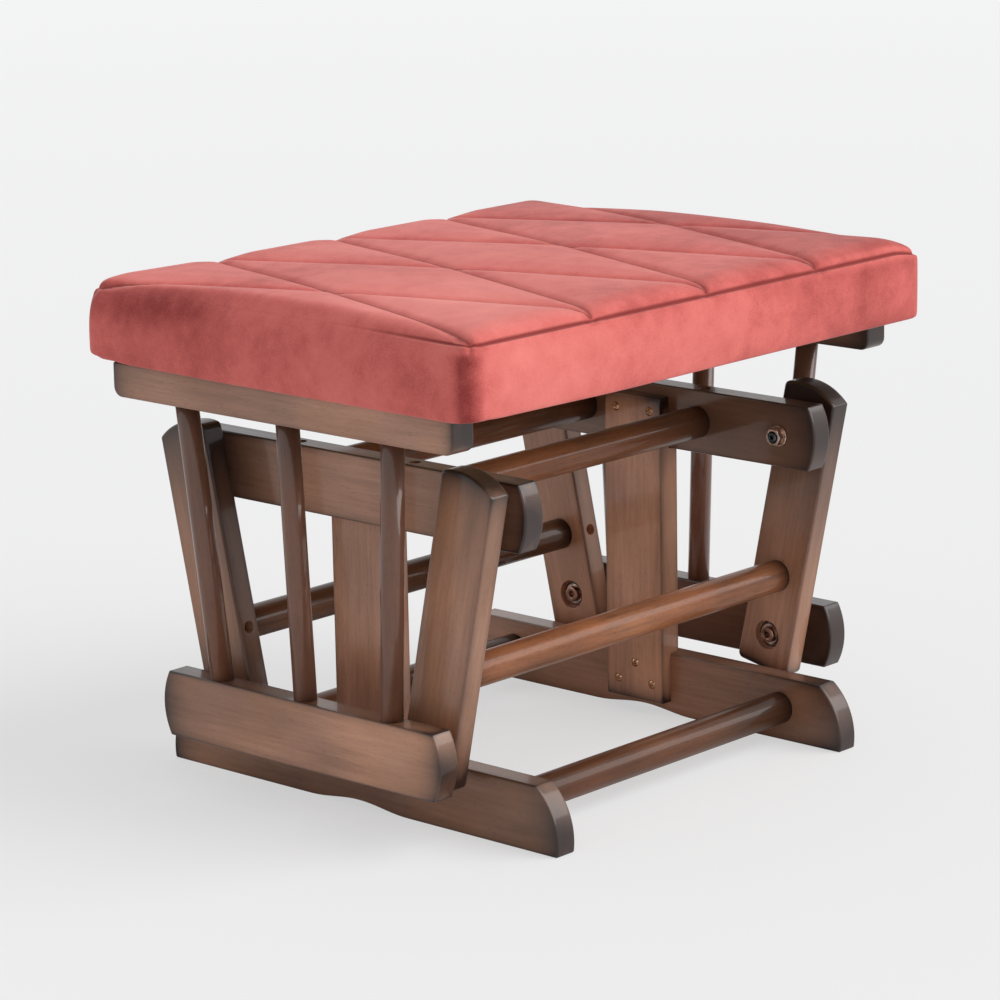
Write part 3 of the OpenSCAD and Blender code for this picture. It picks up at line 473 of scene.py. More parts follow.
def makeStage(settings):
    ends = np.array([-1, 1]) * settings["floorHalf"]
    x, y = np.meshgrid(ends, ends, indexing="ij")
    floor = buildMesh("floor", np.stack([x, y, np.zeros_like(x)], -1), gridQuads(2, 2))
    material, tree, shader = newMaterial("floorPaper")
    place = ownPlace(tree)
    cloud = remap(tree, noise(tree, place, 0.8), 0.3, 0.7, 0.0, 0.04)
    plug(shader, {"Base Color": mixColour(tree, cloud, settings["floorColour"], settings["floorShade"]),
                  "Roughness": 0.85, "Specular IOR Level": 0.2})
    # pale studio paper: what is seen of it is partly its own white, which keeps the shadows light
    away = addNode(tree, "ShaderNodeVectorMath", {0: place}, operation="LENGTH").outputs["Value"]
    white = mixColour(tree, remap(tree, away, 0.9, 6.0), settings["floorNear"], settings["floorFar"])
    glow = addNode(tree, "ShaderNodeEmission", {"Color": white})
    seen = times(tree, addNode(tree, "ShaderNodeLightPath").outputs["Is Camera Ray"], settings["floorGlow"])
    mix = addNode(tree, "ShaderNodeMixShader", {0: seen, 1: shader.outputs[0], 2: glow.outputs[0]})
    plug(next(node for node in tree.nodes if node.type == "OUTPUT_MATERIAL"), {"Surface": mix.outputs[0]})
    floor.data.materials.append(material)
    # the world lights the ottoman evenly and is seen, also in glossy and clear surfaces, as white
    world = scene.world = bpy.data.worlds.new("studio")
    world.use_nodes = True
    tree = world.node_tree
    tree.nodes.clear()
    rays = addNode(tree, "ShaderNodeLightPath")
    seen = plus(tree, rays.outputs["Is Camera Ray"], rays.outputs["Is Glossy Ray"])
    seen = plus(tree, seen, rays.outputs["Is Transmission Ray"], True)
    lit = addNode(tree, "ShaderNodeBackground", {"Color": (1, 1, 1, 1), "Strength": settings["worldLevel"]})
    white = addNode(tree, "ShaderNodeBackground", {"Color": settings["worldWhite"], "Strength": 1.0})
    mix = addNode(tree, "ShaderNodeMixShader", {0: seen, 1: lit.outputs[0], 2: white.outputs[0]})
    addNode(tree, "ShaderNodeOutputWorld", {"Surface": mix.outputs[0]})
    light = bpy.data.lights.new("keyLight", "SUN")
    light.energy, light.angle = settings["keyLevel"], np.radians(settings["keySpread"])
    axis, first, second = sideAxes(settings["keyFrom"])
    stood(bpy.data.objects.new("keyLight", light), [first, second, axis], axis * 3)
    scene.view_settings.view_transform = "Standard"


makeCamera(cameraSettings)
makeStage(stageSettings)
print("camera, floor and lights set")

sideNames = {-1: "Left", 1: "Right"}
endNames = {-1: "front", 1: "rear"}
pivots = inMetres({"topY": 143.5, "topZ": 251.5, "lowY": 106, "lowZ": 74.5, "bearing": 22.2, "bearingDepth": 7,
                   "ring": 12.6, "boardThick": 20})
locks = inMetres({"hole": 9, "depth": 9, "topY": 60})
boards = inMetres({"railOut": 181, "railIn": 161, "height": 52, "bow": 7, "topRailLength": 344, "topRailZ": 226,
                   "footLength": 410, "footRadius": 54, "footNose": 9, "reliefLength": 104, "reliefHeight": 4.5,
                   "lowerRailLength": 280, "lowerRailZ": 45.5, "lowerRailIn": 224, "lowerRailOut": 244,
                   "seatRailIn": 232.5, "seatRailOut": 255.5, "seatRailLength": 355, "seatRailZ": 312.5,
                   "seatRailHeight": 27, "seatCorner": 8.1, "ease": 1.5, "cornerEase": 1.7})


def bowedOutline(length, low):
    # Anticlockwise from the lower right: ends on an arc through both corners and the bow, straight edges
    height, bow = boards["height"], boards["bow"]
    radius = (height * height / 4 + bow * bow) / (2 * bow)
    spread = np.arcsin(height / 2 / radius)
    a = np.linspace(-spread, spread, 15)
    right = np.stack([length / 2 + bow - radius + radius * np.cos(a), low + height / 2 + radius * np.sin(a)], 1)
    return roundCorners(mirrored(right), boards["cornerEase"])


def footOutline():
    # Quarter-round ends and the relief z = h * (1 + cos(pi * s)) / 2 under the middle
    half, radius, nose = boards["footLength"] / 2, boards["footRadius"], boards["footNose"]
    a = np.linspace(-np.arcsin(nose / radius), np.arcsin((boards["height"] - nose) / radius), 22)
    right = np.stack([half - radius + radius * np.cos(a), nose + radius * np.sin(a)], 1)
    s = np.linspace(-1, 1, 25)
    relief = np.stack([s * boards["reliefLength"] / 2, boards["reliefHeight"] * (1 + np.cos(np.pi * s)) / 2], 1)
    return roundCorners(np.concatenate([relief, mirrored(right)]), boards["cornerEase"])


def seatRailOutline():
    # square at the top, rounded at the two lower corners
    half, low = boards["seatRailLength"] / 2, boards["seatRailZ"]
    top = low + boards["seatRailHeight"]
    sizes = [boards[name] for name in ("seatCorner", "seatCorner", "cornerEase", "cornerEase")]
    return roundCorners([[-half, low], [half, low], [half, top], [-half, top]], np.array(sizes), 8)


# How light the stain came out on the left (-1) and the right (1) board, from the front end to the
# rear or from the foot up, partly painted light and shade: boards that stand in shade are painted
# darker and the uprights lighter against the shade under the seat; the reach of the dark spray and
# painted shadow from those two ends and from the long edges; and how dark the painted shade on the
# narrow faces is
boardLooks = {
    "footRail": {"stainAndLight": {-1: (0.64, 0.98), 1: (0.95, 1.3)},
                 "sprayAndShade": {-1: (22, 12, 3), 1: (44, 18, 3)}, "narrowFaceShade": 0.3},
    "topRail": {"stainAndLight": {-1: (1.3, 1.25), 1: (0.4, 0.8)},
                "sprayAndShade": {-1: (26, 96, 3), 1: (22, 16, 3)}, "narrowFaceShade": 0.45},
    "lowerRail": {"stainAndLight": {-1: (1.27, 1.35), 1: (0.42, 0.52)},
                  "sprayAndShade": {-1: (16, 20, 2.5), 1: (50, 30, 4)}, "narrowFaceShade": 0.5},
    "seatRail": {"stainAndLight": {-1: (1.02, 0.96), 1: (0.5, 0.7)},
                 "sprayAndShade": {-1: (6, 12, 2), 1: (40, 30, 3)}, "narrowFaceShade": 0.0},
    "upright": {"stainAndLight": {-1: (1.05, 1.6), 1: (1.95, 1.8)},
                "sprayAndShade": {-1: (14, 8, 2), 1: (8, 12, 2.2)}, "narrowFaceShade": 0.35},
    "frontArm": {"stainAndLight": {-1: (1.12, 1.08), 1: (1.78, 0.12)},
                 "sprayAndShade": {-1: (32, 13, 2.5), 1: (6, 34, 2.5)}, "narrowFaceShade": 0.24},
    "rearArm": {"stainAndLight": {-1: (0.95, 0.85), 1: (1.65, 1.3)},
                "sprayAndShade": {-1: (10, 26, 2.5), 1: (6, 20, 2.5)}, "narrowFaceShade": 0.55}}


def finishBoard(board, kind, side, body, node, seed, origin, along, across):
    look = boardLooks[kind]
    giveGrain(board, origin, along, across, seed, None, look["stainAndLight"][side], look["sprayAndShade"][side], look["narrowFaceShade"])
    finishPiece(board, body, "walnut", woods["walnut"], node + "_" + sideNames[side].lower())


def topRailBores(side):
    # at each end the pivot's ring bore and bearing seat, and the lock screw's hole in the top edge
    near, far, bores = side * boards["railIn"], side * boards["railOut"], []
    for end in (-1, 1):
        y, z = end * pivots["topY"], pivots["topZ"]
        lock = [(near + far) / 2, end * locks["topY"], boards["topRailZ"] + boards["height"]]
        bores += [([near, y, z], [side, 0, 0], pivots["ring"] / 2, pivots["boardThick"], True),
                  ([far, y, z], [-side, 0, 0], pivots["bearing"] / 2, pivots["bearingDepth"], False),
                  (lock, [0, 0, -1], locks["hole"] / 2, locks["depth"], False)]
    return bores


def makeRails():
    # outline, inner and outer face, body, node, and the grain's seed with its step from side to side
    b = boards
    top = bowedOutline(b["topRailLength"], b["topRailZ"])
    lower = bowedOutline(b["lowerRailLength"], b["lowerRailZ"])
    kinds = {"footRail": (footOutline(), b["railIn"], b["railOut"], "base", "foot_rail", 1.3, 0.7),
             "topRail": (top, b["railIn"], b["railOut"], "base", "top_rail", 3.1, 0.9),
             "lowerRail": (lower, b["lowerRailIn"], b["lowerRailOut"], "seat", "lower_rail", 5.2, 1.1),
             "seatRail": (seatRailOutline(), b["seatRailIn"], b["seatRailOut"], "seat", "seat_rail", 7.4, 0.8)}
    for side in (-1, 1):
        for kind, (outline, near, far, body, node, seed, seedStep) in kinds.items():
            axes = ([0, 0, 0], [0, 1, 0], [0, 0, 1], [side, 0, 0])
            rail = carriedBoard(kind + sideNames[side], outline, axes, near, far, b["ease"])
            if kind == "topRail":
                cutBores(rail, topRailBores(side))
            finishBoard(rail, kind, side, body, node, seed + side * seedStep, *axes[:3])


makeRails()
print("rails made")

uprights = inMetres({"in": 150, "out": 171, "low": 11, "high": 269, "halfWidth": 30, "shoulderLow": 52,
                     "shoulderHigh": 226, "ease": 1.0, "screwSeat": 7.2, "seatDepth": 2.4, "pitch": 18, "rise": 8,
                     "lowRow": 34, "highRow": 249},
                    cornerEases=np.array([1.5, 1.1, 0.3, 1.1, 1.1, 0.3, 1.1, 1.5]) * mm)


def screwPlaces(side):
    # the six screws of an upright, each on the tongue's inner face
    p, r, low, high = (uprights[name] for name in ("pitch", "rise", "lowRow", "highRow"))
    spots = [(p, low - r), (-p, low - r), (0, low + r), (p, high + r), (-p, high + r), (0, high - r)]
    return [[side * uprights["in"], y, z] for y, z in spots]


def makeUprights():
    u, rail = uprights, boards["railIn"]
    outline = [[u["in"], u["low"]], [rail, u["low"]], [rail, u["shoulderLow"]], [u["out"], u["shoulderLow"]],
               [u["out"], u["shoulderHigh"]], [rail, u["shoulderHigh"]], [rail, u["high"]], [u["in"], u["high"]]]
    outline = roundCorners(outline, u["cornerEases"])
    for side in (-1, 1):
        axes = ([0, 0, 0], [side, 0, 0], [0, 0, 1], [0, 1, 0])
        board = carriedBoard("upright" + sideNames[side], outline, axes, -u["halfWidth"], u["halfWidth"], u["ease"])
        cutBores(board, [(spot, [side, 0, 0], u["screwSeat"] / 2, u["seatDepth"], False)
                         for spot in screwPlaces(side)])
        finishBoard(board, "upright", side, "base", "upright", 9.3 + side * 1.7, axes[0], axes[2], axes[3])


makeUprights()
print("uprights made")

arms = inMetres({"in": 192, "out": 212, "width": 51, "length": 180.93, "headOuter": 27.5, "headInner": 32.5,
                 "headRadius": 51, "headEase": 2.4, "foot": 29, "corner": 5, "ease": 2.2, "dowelUp": 53,
                 "recess": 24, "recessDepth": 5.5, "bearing": 22.2, "bearingDepth": 12.8, "ring": 12.6,
                 "rearRing": 17.4}, lean=np.radians(11.96))


def armOutline():
    # Down the arm from the upper pivot at the origin: an arc through both top corners, round lower corners.
    # The first coordinate is across the arm, towards the middle of the ottoman for the front arm.
    a = arms
    half, low = a["width"] / 2, -a["length"] - a["foot"]
    tilt = np.arctan2(a["headInner"] - a["headOuter"], a["width"])
    chord = a["width"] / np.cos(tilt)
    reach = np.sqrt(a["headRadius"] ** 2 - chord ** 2 / 4)
    centre = np.array([np.sin(tilt) * reach, (a["headOuter"] + a["headInner"]) / 2 - np.cos(tilt) * reach])
    first = np.arctan2(a["headInner"] - centre[1], half - centre[0])
    last = np.arctan2(a["headOuter"] - centre[1], -half - centre[0])
    t = np.concatenate([[first], np.linspace(first + 0.13, last - 0.07, 13), [last]])
    head = centre + a["headRadius"] * np.stack([np.cos(t), np.sin(t)], 1)
    outline = np.concatenate([[[-half, low], [half, low]], head])
    sizes = np.full(len(outline), a["headEase"])
    sizes[:3] = a["corner"]
    return roundCorners(outline, sizes, 7)


def armPoint(end, side, x, up, across=0.0):
    # a point by its distance up the arm from the upper pivot, in the ottoman's frame
    lean = arms["lean"]
    y = -pivots["topY"] + across * np.cos(lean) - up * np.sin(lean)
    return np.array([side * x, -end * y, pivots["topZ"] + across * np.sin(lean) + up * np.cos(lean)])


def makeArms():
    a, outline = arms, armOutline()
    for end in (-1, 1):
        across = np.array([0, -end * np.cos(a["lean"]), np.sin(a["lean"])])
        up = np.array([0, end * np.sin(a["lean"]), np.cos(a["lean"])])
        for side in (-1, 1):
            out, pivot = [side, 0, 0], armPoint(end, side, 0, 0)
            kind = endNames[end] + "Arm"
            axes = (pivot, across, up, out)
            board = carriedBoard(kind + sideNames[side], outline, axes, a["in"], a["out"], a["ease"])
            low = armPoint(end, side, a["in"], -a["length"])
            lock = armPoint(end, side, (a["in"] + a["out"]) / 2, a["dowelUp"] - a["length"], a["width"] / 2)
            ring = a["ring"] if end < 0 else a["rearRing"]
            cutBores(board, [(low, out, ring / 2, pivots["boardThick"], True),
                             (low, out, a["recess"] / 2, a["recessDepth"], False),
                             (low, out, a["bearing"] / 2, a["bearingDepth"], False),
                             (lock, -across, locks["hole"] / 2, locks["depth"], False)])
            finishBoard(board, kind, side, endNames[end] + "_arms", endNames[end] + "_arm",
                        12.1 + end * 2.3 + side * 0.9, pivot, up, across)


makeArms()
print("arms made")

dowels = inMetres({"radius": 13, "tenon": 8, "tenonLength": 14, "shoulderEase": 0.6, "floorY": 144, "floorZ": 27,
                   "topY": 60, "topZ": 252})


def dowelProfile(half):
    # tenon with a small chamfer, rounded shoulder, body, and the same at the other end
    radius, tenon, length, ease = (dowels[name] for name in ("radius", "tenon", "tenonLength", "shoulderEase"))
    t = np.linspace(0, np.pi / 2, 5)
    shoulder = np.stack([-half + ease * (1 - np.cos(t)), radius - ease + ease * np.sin(t)], 1)
    first = np.concatenate([[[-half - length, tenon - mm], [-half - length + mm, tenon], [-half, tenon]], shoulder,
                            [[-half + 2 * ease, radius]]])
    return mirrored(first)


def makeDowels():
    # end, label, body, half length, middle, stain with painted light and shade from left to right, and
    # the reach of the spray and painted shade at the right end
    d, spots = dowels, []
    for end in (-1, 1):
        arm = armPoint(end, 1, 0, arms["dowelUp"] - arms["length"])
        # the rear arm dowels' and the floor dowels' stains are partly painted shade, darker for the shade they
        # stand in
        armStainAndLight = (0.95, 1.08) if end < 0 else (0.5, 0.36)
        spots += [(end, "Floor", "base", boards["railIn"], [0, end * d["floorY"], d["floorZ"]], (0.48, 0.34), 18),
                  (end, "Top", "base", boards["railIn"], [0, end * d["topY"], d["topZ"]], (0.85, 0.65), 50),
                  (end, "Arm", endNames[end] + "_arms", arms["in"], arm, armStainAndLight, 14)]
    for number, (end, label, body, half, place, stainAndLight, dark) in enumerate(spots):
        bar = turned(endNames[end] + label + "Dowel", place, [1, 0, 0], dowelProfile(half), 64)
        giveGrain(bar, place, [1, 0, 0], [0, 1, 0], 20.5 + 2.7 * number, [half, 1, 1], stainAndLight, (14, dark, 3))
        finishPiece(bar, body, "dowel_wood", woods["dowel_wood"], f"{endNames[end]}_{label.lower()}_dowel")


# the ends run a little into the rails, where the CAD bars are cut level
spindles = inMetres({"radius": 9, "tenon": 5, "tenonLength": 13, "lowX": 234, "highX": 244, "lowY": 90,
                     "highY": 108, "lowZ": 97.5, "highZ": 312.5, "into": 1.5, "step": 0.1})


def makeSpindles():
    s, labels = spindles, {-1: "front", 0: "middle", 1: "rear"}
    for side in (-1, 1):
        for row in (-1, 0, 1):
            low = np.array([side * s["lowX"], row * s["lowY"], s["lowZ"]])
            high = np.array([side * s["highX"], row * s["highY"], s["highZ"]])
            half = np.linalg.norm(high - low) / 2
            place, axis = (low + high) / 2, (high - low) / (2 * half)
            first = np.array([[-half - s["tenonLength"], s["tenon"]], [-half - s["into"], s["tenon"]],
                              [-half - s["into"] + s["step"], s["radius"]]])
            bar = turned(labels[row] + "Spindle" + sideNames[side], place, axis, mirrored(first), 48)
            seed = 40.3 + 3.3 * row + 1.7 * side
            giveGrain(bar, place, axis, sideAxes(axis)[1], seed, [half, 1, 1], (1.15, 0.95), (6, 30, 3))
            node = f"{labels[row]}_spindle_{sideNames[side].lower()}"
            finishPiece(bar, "seat", "spindle_wood", woods["spindle_wood"], node)


makeDowels()
makeSpindles()
print("dowels and spindles made")

# the shares, sideRows, crosses, halfColumns and the like are plain numbers, all else is in millimetres
cushion = {"centreX": 5, "width": 534, "depth": 407, "corner": 13, "under": 339.9, "hemDrop": 2.4, "hemRound": 3.0,
           "leftHem": 0.75, "farCornerLift": 3.4, "nearCornerLift": 1.8, "seam": 393.4, "seamInset": 2.2,
           "seamRise": 2.4, "seamFall": 5.5, "rearSag": 3.2, "draw": 1.5, "bulge": 2.2, "softRoll": 6.5,
           "rollReach": 0.17, "crown": 8.2, "crownFall": 0.1, "shoulder": 22, "puff": 4.2, "puffReach": 27,
           "crosses": 4, "halfColumns": 14, "crowding": 0.25, "boardHalfX": 250.4, "boardHalfY": 188.4,
           "boardCorner": 8, "boardTop": 351.9, "pressure": 3.0, "stiffness": 18, "bending": 2.5, "mass": 0.25,
           "frames": 16, "topCap": 3.0, "sideCap": 1.5, "smoothing": 6, "stitchDepth": 1.7, "stitchWidth": 3.2,
           "seamDepth": 1.5, "seamWidth": 1.0, "creaseWidth": 1.1, "fill": 0.85, "firstRow": 0.66, "rowStep": 2.2,
           "sideRows": (0.012, 0.03, 0.06, 0.11, 0.18, 0.28, 0.4, 0.52, 0.64, 0.76, 0.87)}


def smoothStep(low, high, value):
    t = np.clip((value - low) / (high - low), 0, 1)
    return t * t * (3 - 2 * t)


def planPoint(u, v, halfX, halfY, corner):
    # A point of the unit square on a rounded rectangle: in a corner region it is drawn in to
    # max(dx, dy) from the corner's centre
    x, y = u * halfX, v * halfY
    dx, dy = np.abs(x) - (halfX - corner), np.abs(y) - (halfY - corner)
    turn = (dx > 0) & (dy > 0)
    k = np.where(turn, np.maximum(dx, dy) / np.maximum(np.hypot(dx, dy), 1e-9), 1)
    x = np.where(turn, np.sign(x) * (halfX - corner + dx * k), x)
    y = np.where(turn, np.sign(y) * (halfY - corner + dy * k), y)
    return x, y


def drawnIn(x, y, c):
    # the sides are drawn in by draw * (1 - v * v) half way between the corners
    u, v = x / (c["width"] / 2), y / (c["depth"] / 2)
    return x - c["draw"] * u * np.abs(u) * (1 - v * v), y - c["draw"] * v * np.abs(v) * (1 - u * u)


def lineDistance(u, v, c):
    # distance to the nearest stitched line: each cross is the two diagonals of a block as wide as
    # a quarter of the cushion
    block, half = c["width"] / c["crosses"], c["depth"] / 2
    s, y = (u * c["width"] / 2 + c["width"] / 2) % block - block / 2, v * half
    across, down = s * half, y * block / 2
    return np.minimum(np.abs(across - down), np.abs(across + down)) / np.hypot(block / 2, half)


def seamHeight(u, v, c):
    # the seam rises towards the left end, falls off at the right one and sags along the rear
    rear = smoothStep(-0.1, 1.0, v) * (1 - 0.4 * smoothStep(-0.5, -1.0, u))
    right = smoothStep(0.86, 1.04, u)
    return c["seam"] + c["seamRise"] * ((1 - u) / 2) ** 2.5 - c["seamFall"] * right - c["rearSag"] * rear


def hemHeight(u, v, c):
    # The cover hangs a little below the seat frame's top along its front and its right end and less
    # on the left, where the seat rail stands close; its corners are drawn up
    front = smoothStep(-0.9, -1.0, v) * smoothStep(-1.0, -0.3, u)
    right = smoothStep(0.9, 1.0, u)
    rear = smoothStep(0.9, 1.0, v) * smoothStep(-1.0, -0.5, u)
    left = c["leftHem"] * smoothStep(-0.93, -1.0, u) * smoothStep(1.0, 0.1, v)
    corners = c["farCornerLift"] * smoothStep(0.75, 1.0, -u) * smoothStep(0.75, 1.0, v)
    corners = corners + c["nearCornerLift"] * smoothStep(0.88, 1.0, -u) * smoothStep(0.88, 1.0, -v)
    return c["under"] - c["hemDrop"] * np.maximum(np.maximum(front, right), np.maximum(rear, left)) + corners


def softSide(u, v):
    # 1 on the left side, where the top rolls over without a crease, 0 at the crisp front seam
    return smoothStep(-0.93, -1.0, u) * smoothStep(-1.0, -0.2, v)


def topPlace(u, v, c):
    # where a point of the unit square lies on the cushion's top, seen from above
    halfX, halfY = c["width"] / 2, c["depth"] / 2
    inset = c["seamInset"] + (c["softRoll"] - c["seamInset"]) * softSide(u, v)
    x, y = planPoint(u, v, halfX, halfY, c["corner"])
    return drawnIn(x * (1 - inset / halfX), y * (1 - inset / halfY), c)


def topGrid(c):
    # Rows and columns crowd towards the edges by w + k * w * (1 - w * w), and the columns bend so
    # that one point of every row lies on each stitched line
    n, k = c["halfColumns"], c["crowding"]
    cols, rows = 2 * n * c["crosses"], 6 * n
    wu, wv = np.linspace(-1, 1, cols + 1), np.linspace(-1, 1, rows + 1)
    u, v = np.meshgrid(wu + 0.4 * k * wu * (1 - wu * wu), wv + k * wv * (1 - wv * wv))
    plain = u.copy()
    for cross in range(c["crosses"]):
        for sign in (-1, 1):
            line = ((2 * cross + 1) + sign * v[:, 0]) / c["crosses"] - 1
            near = np.argmin(np.abs(plain - line[:, None]), 1)
            for shift in range(-3, 4):
                at = near + shift
                rowIds = np.nonzero((at > 0) & (at < cols))[0]
                off = line[rowIds] - plain[rowIds, near[rowIds]]
                u[rowIds, at[rowIds]] += off * (1 - abs(shift) / 3.5)
    return np.sort(np.clip(u, -1, 1), 1), v


def cushionCage(c):
    # Top: seam height + shoulder * (crown + puff), the puff growing with the distance from the lines
    u, v = topGrid(c)
    rows, cols = u.shape
    halfX, halfY = c["width"] / 2, c["depth"] / 2
    roll = softSide(u, v)
    x, y = topPlace(u, v, c)
    edge = np.minimum((1 - np.abs(u)) * halfX, (1 - np.abs(v)) * halfY)
    inner = 1 - np.minimum(edge / c["shoulder"], 1)
    shoulder = np.sqrt(1 - inner ** 2) * (1 - roll) + (1 - inner ** 1.8) * roll
    crown = c["crown"] * (1 - c["crownFall"] * u * u) * (1 - c["crownFall"] * v * v)
    distance = lineDistance(u, v, c)
    puff = c["puff"] * np.minimum(distance / c["puffReach"], 1) ** 0.6
    z = seamHeight(u, v, c) + shoulder * (crown + puff)
    top = np.stack([x + c["centreX"], y, z], -1).reshape(-1, 3)
    ids = np.arange(rows * cols).reshape(rows, cols)
    ring = np.concatenate([ids[0, :-1], ids[:-1, -1], ids[-1, :0:-1], ids[:0:-1, 0]])
    ringU, ringV = u.ravel()[ring], v.ravel()[ring]
    # side: t runs down from the seam to the hem, share * (seam - hem), the middle bulges by
    # sin(pi * t) and the soft left side leans in towards its seam; then round the hem and up
    # into the recess over the board
    soft, seam, hem = softSide(ringU, ringV), seamHeight(ringU, ringV, c), hemHeight(ringU, ringV, c)
    turn = c["hemRound"]
    full = 1 - np.minimum(np.abs(ringU), np.abs(ringV)) ** 6
    layers = []

    def addLayer(height, inset):
        px, py = planPoint(ringU, ringV, halfX, halfY, c["corner"])
        px, py = drawnIn(px * (1 - inset / halfX), py * (1 - inset / halfY), c)
        layers.append(np.stack([px + c["centreX"], py, height + np.zeros_like(px)], -1))

    for t in c["sideRows"]:
        crisp = c["seamInset"] * np.exp(-t / 0.016)
        lean = c["softRoll"] * np.exp(-t / c["rollReach"])
        bulge = c["bulge"] * full * np.sin(np.pi * t) ** 0.8
        addLayer(seam - t * (seam - hem - turn), crisp * (1 - soft) + lean * soft - bulge)
    for a in np.linspace(0, np.pi / 2, 4):
        addLayer(hem + turn * (1 - np.sin(a)), turn * (1 - np.cos(a)))
    addLayer(hem + 0.1, turn + 0.6)
    addLayer(c["under"], turn + 1.6)
    for height in (c["under"], (c["under"] + c["boardTop"]) / 2, c["boardTop"]):
        px, py = planPoint(ringU, ringV, c["boardHalfX"], c["boardHalfY"], c["boardCorner"])
        layers.append(np.stack([px, py, np.full_like(px, height)], -1))
    side, down, count, first = np.concatenate(layers), len(layers), len(ring), len(top)
    sideIds = np.concatenate([ring, first + np.arange(len(side))])
    quads = np.concatenate([gridQuads(rows, cols), sideIds[gridQuads(down + 1, count, True)][:, ::-1]])
    cap = first + len(side) - count + np.arange(count)
    obj = buildMesh("cushionPad", np.concatenate([top, side]) * mm, quads, [cap])
    # the cover is held along the lines, along the seam and from the hem's turn on
    held = np.zeros(first + len(side), bool)
    held[:first] = (distance < 0.6).ravel()
    held[ring] = True
    held[first + (len(c["sideRows"]) + 2) * count:] = True
    # how far a point lies from the seam, and its place on the unbent top, the third number inwards
    below = c["firstRow"] + c["rowStep"] * np.arange(down)
    fromSeam = np.append(np.minimum(edge, 40).ravel(), below.repeat(count))
    fromSeam[ring] = 0
    addMark(obj.data, "fromSeam", fromSeam)
    addMark(obj.data, "soft", np.append(roll.ravel(), np.tile(soft, down)))
    plan = np.stack([u * halfX, v * halfY, np.minimum(edge, 40)], -1).reshape(-1, 3)
    sidePlan = np.tile(np.stack([ringU * halfX, ringV * halfY, np.zeros(count)], -1), (down, 1))
    sidePlan[:, 2] = -fromSeam[first:]
    addMark(obj.data, "plan", np.concatenate([plan, sidePlan]))
    return obj, held


def evened(mesh, travel, held):
    # each free point's travel takes the mean of its own and its neighbours' along the edges
    ends = np.zeros(len(mesh.edges) * 2, np.int32)
    mesh.edges.foreach_get("vertices", ends)
    first, second = ends.reshape(-1, 2).T
    total, count = travel.copy(), np.ones(len(travel))
    for a, b in ((first, second), (second, first)):
        np.add.at(total, a, travel[b])
        np.add.at(count, a, 1)
    return np.where(held[:, None], travel, total / count[:, None])


def fillCushion(obj, held, c):
    # The cover is sewn down along its stitched lines and seam and swells between them under the
    # filling's pressure. A point's travel d is held to cap * tanh(d / cap).
    start = readPoints(obj.data)
    group = obj.vertex_groups.new(name="sewn")
    group.add(np.nonzero(held)[0].tolist(), 1.0, "REPLACE")
    cloth = obj.modifiers.new("cover", "CLOTH")
    settings = cloth.settings
    settings.vertex_group_mass = "sewn"
    settings.use_pressure = True
    settings.uniform_pressure_force = c["pressure"]
    settings.effector_weights.gravity = 0
    settings.quality = 5
    settings.mass = c["mass"]
    settings.tension_stiffness = settings.compression_stiffness = c["stiffness"]
    settings.bending_stiffness = c["bending"]
    cloth.point_cache.frame_start, cloth.point_cache.frame_end = 1, c["frames"]
    for number in range(1, c["frames"] + 1):
        scene.frame_set(number)
    graph = bpy.context.evaluated_depsgraph_get()
    swollen = bpy.data.meshes.new_from_object(obj.evaluated_get(graph), depsgraph=graph)
    end = readPoints(swollen)
    bpy.data.meshes.remove(swollen)
    obj.modifiers.clear()
    obj.vertex_groups.clear()
    scene.frame_set(1)
    travel = end - start
    for _ in range(c["smoothing"]):
        travel = evened(obj.data, travel, held)
    length = np.linalg.norm(travel, axis=1)[:, None]
    cap = np.where(start[:, 2:] > (c["seam"] + 0.5) * mm, c["topCap"], c["sideCap"]) * mm
    end = start + travel / np.maximum(length, 1e-9) * cap * np.tanh(length / cap)
    obj.data.vertices.foreach_set("co", end.astype(np.float32).ravel())
    obj.data.update()
    print("cushion filled, most travel before the cap", round(float(length.max()) / mm, 1), "mm")


def withoutCap(mesh, fill):
    # takes the large flat face over the board away before the mesh is made finer, or fills it in again
    work = bmesh.new()
    work.from_mesh(mesh)
    if fill:
        bmesh.ops.holes_fill(work, edges=[edge for edge in work.edges if edge.is_boundary], sides=0)
        bmesh.ops.recalc_face_normals(work, faces=work.faces)
    else:
        bmesh.ops.delete(work, geom=[face for face in work.faces if len(face.verts) > 4], context="FACES_ONLY")
    work.to_mesh(mesh)
    work.free()


# the cover's marks: depths, places and reaches in millimetres, and painted light (1) or painted shade (-1)
markLook = {"pleats": 7, "pleatDepth": 0.55, "pleatReach": 7, "meetShade": 0.3, "meetReach": 9,
            "pinchDepth": 1.3, "pinchAt": 13, "pinchReach": 6, "cornerShade": 1.5, "cornerAt": 7, "cornerReach": 9,
            "leftLight": 0.1, "rollShade": 1.0, "rollY": 150, "rollReachY": 85, "rollZ": 390, "rollReachZ": 16,
            "rearShade": 0.45, "rearY": 180, "rearReach": 60, "frontLight": 0.45, "frontFall": 0.85,
            "frontFrom": 40, "frontTo": 230, "topLight": 0.75, "topX": -190, "topReachX": 110, "topY": -110,
            "topReachY": 90, "topFall": 0.6, "topFrom": 90, "topTo": 260}


def bell(value, middle, reach):
    return np.exp(-((value - middle) / reach) ** 2)


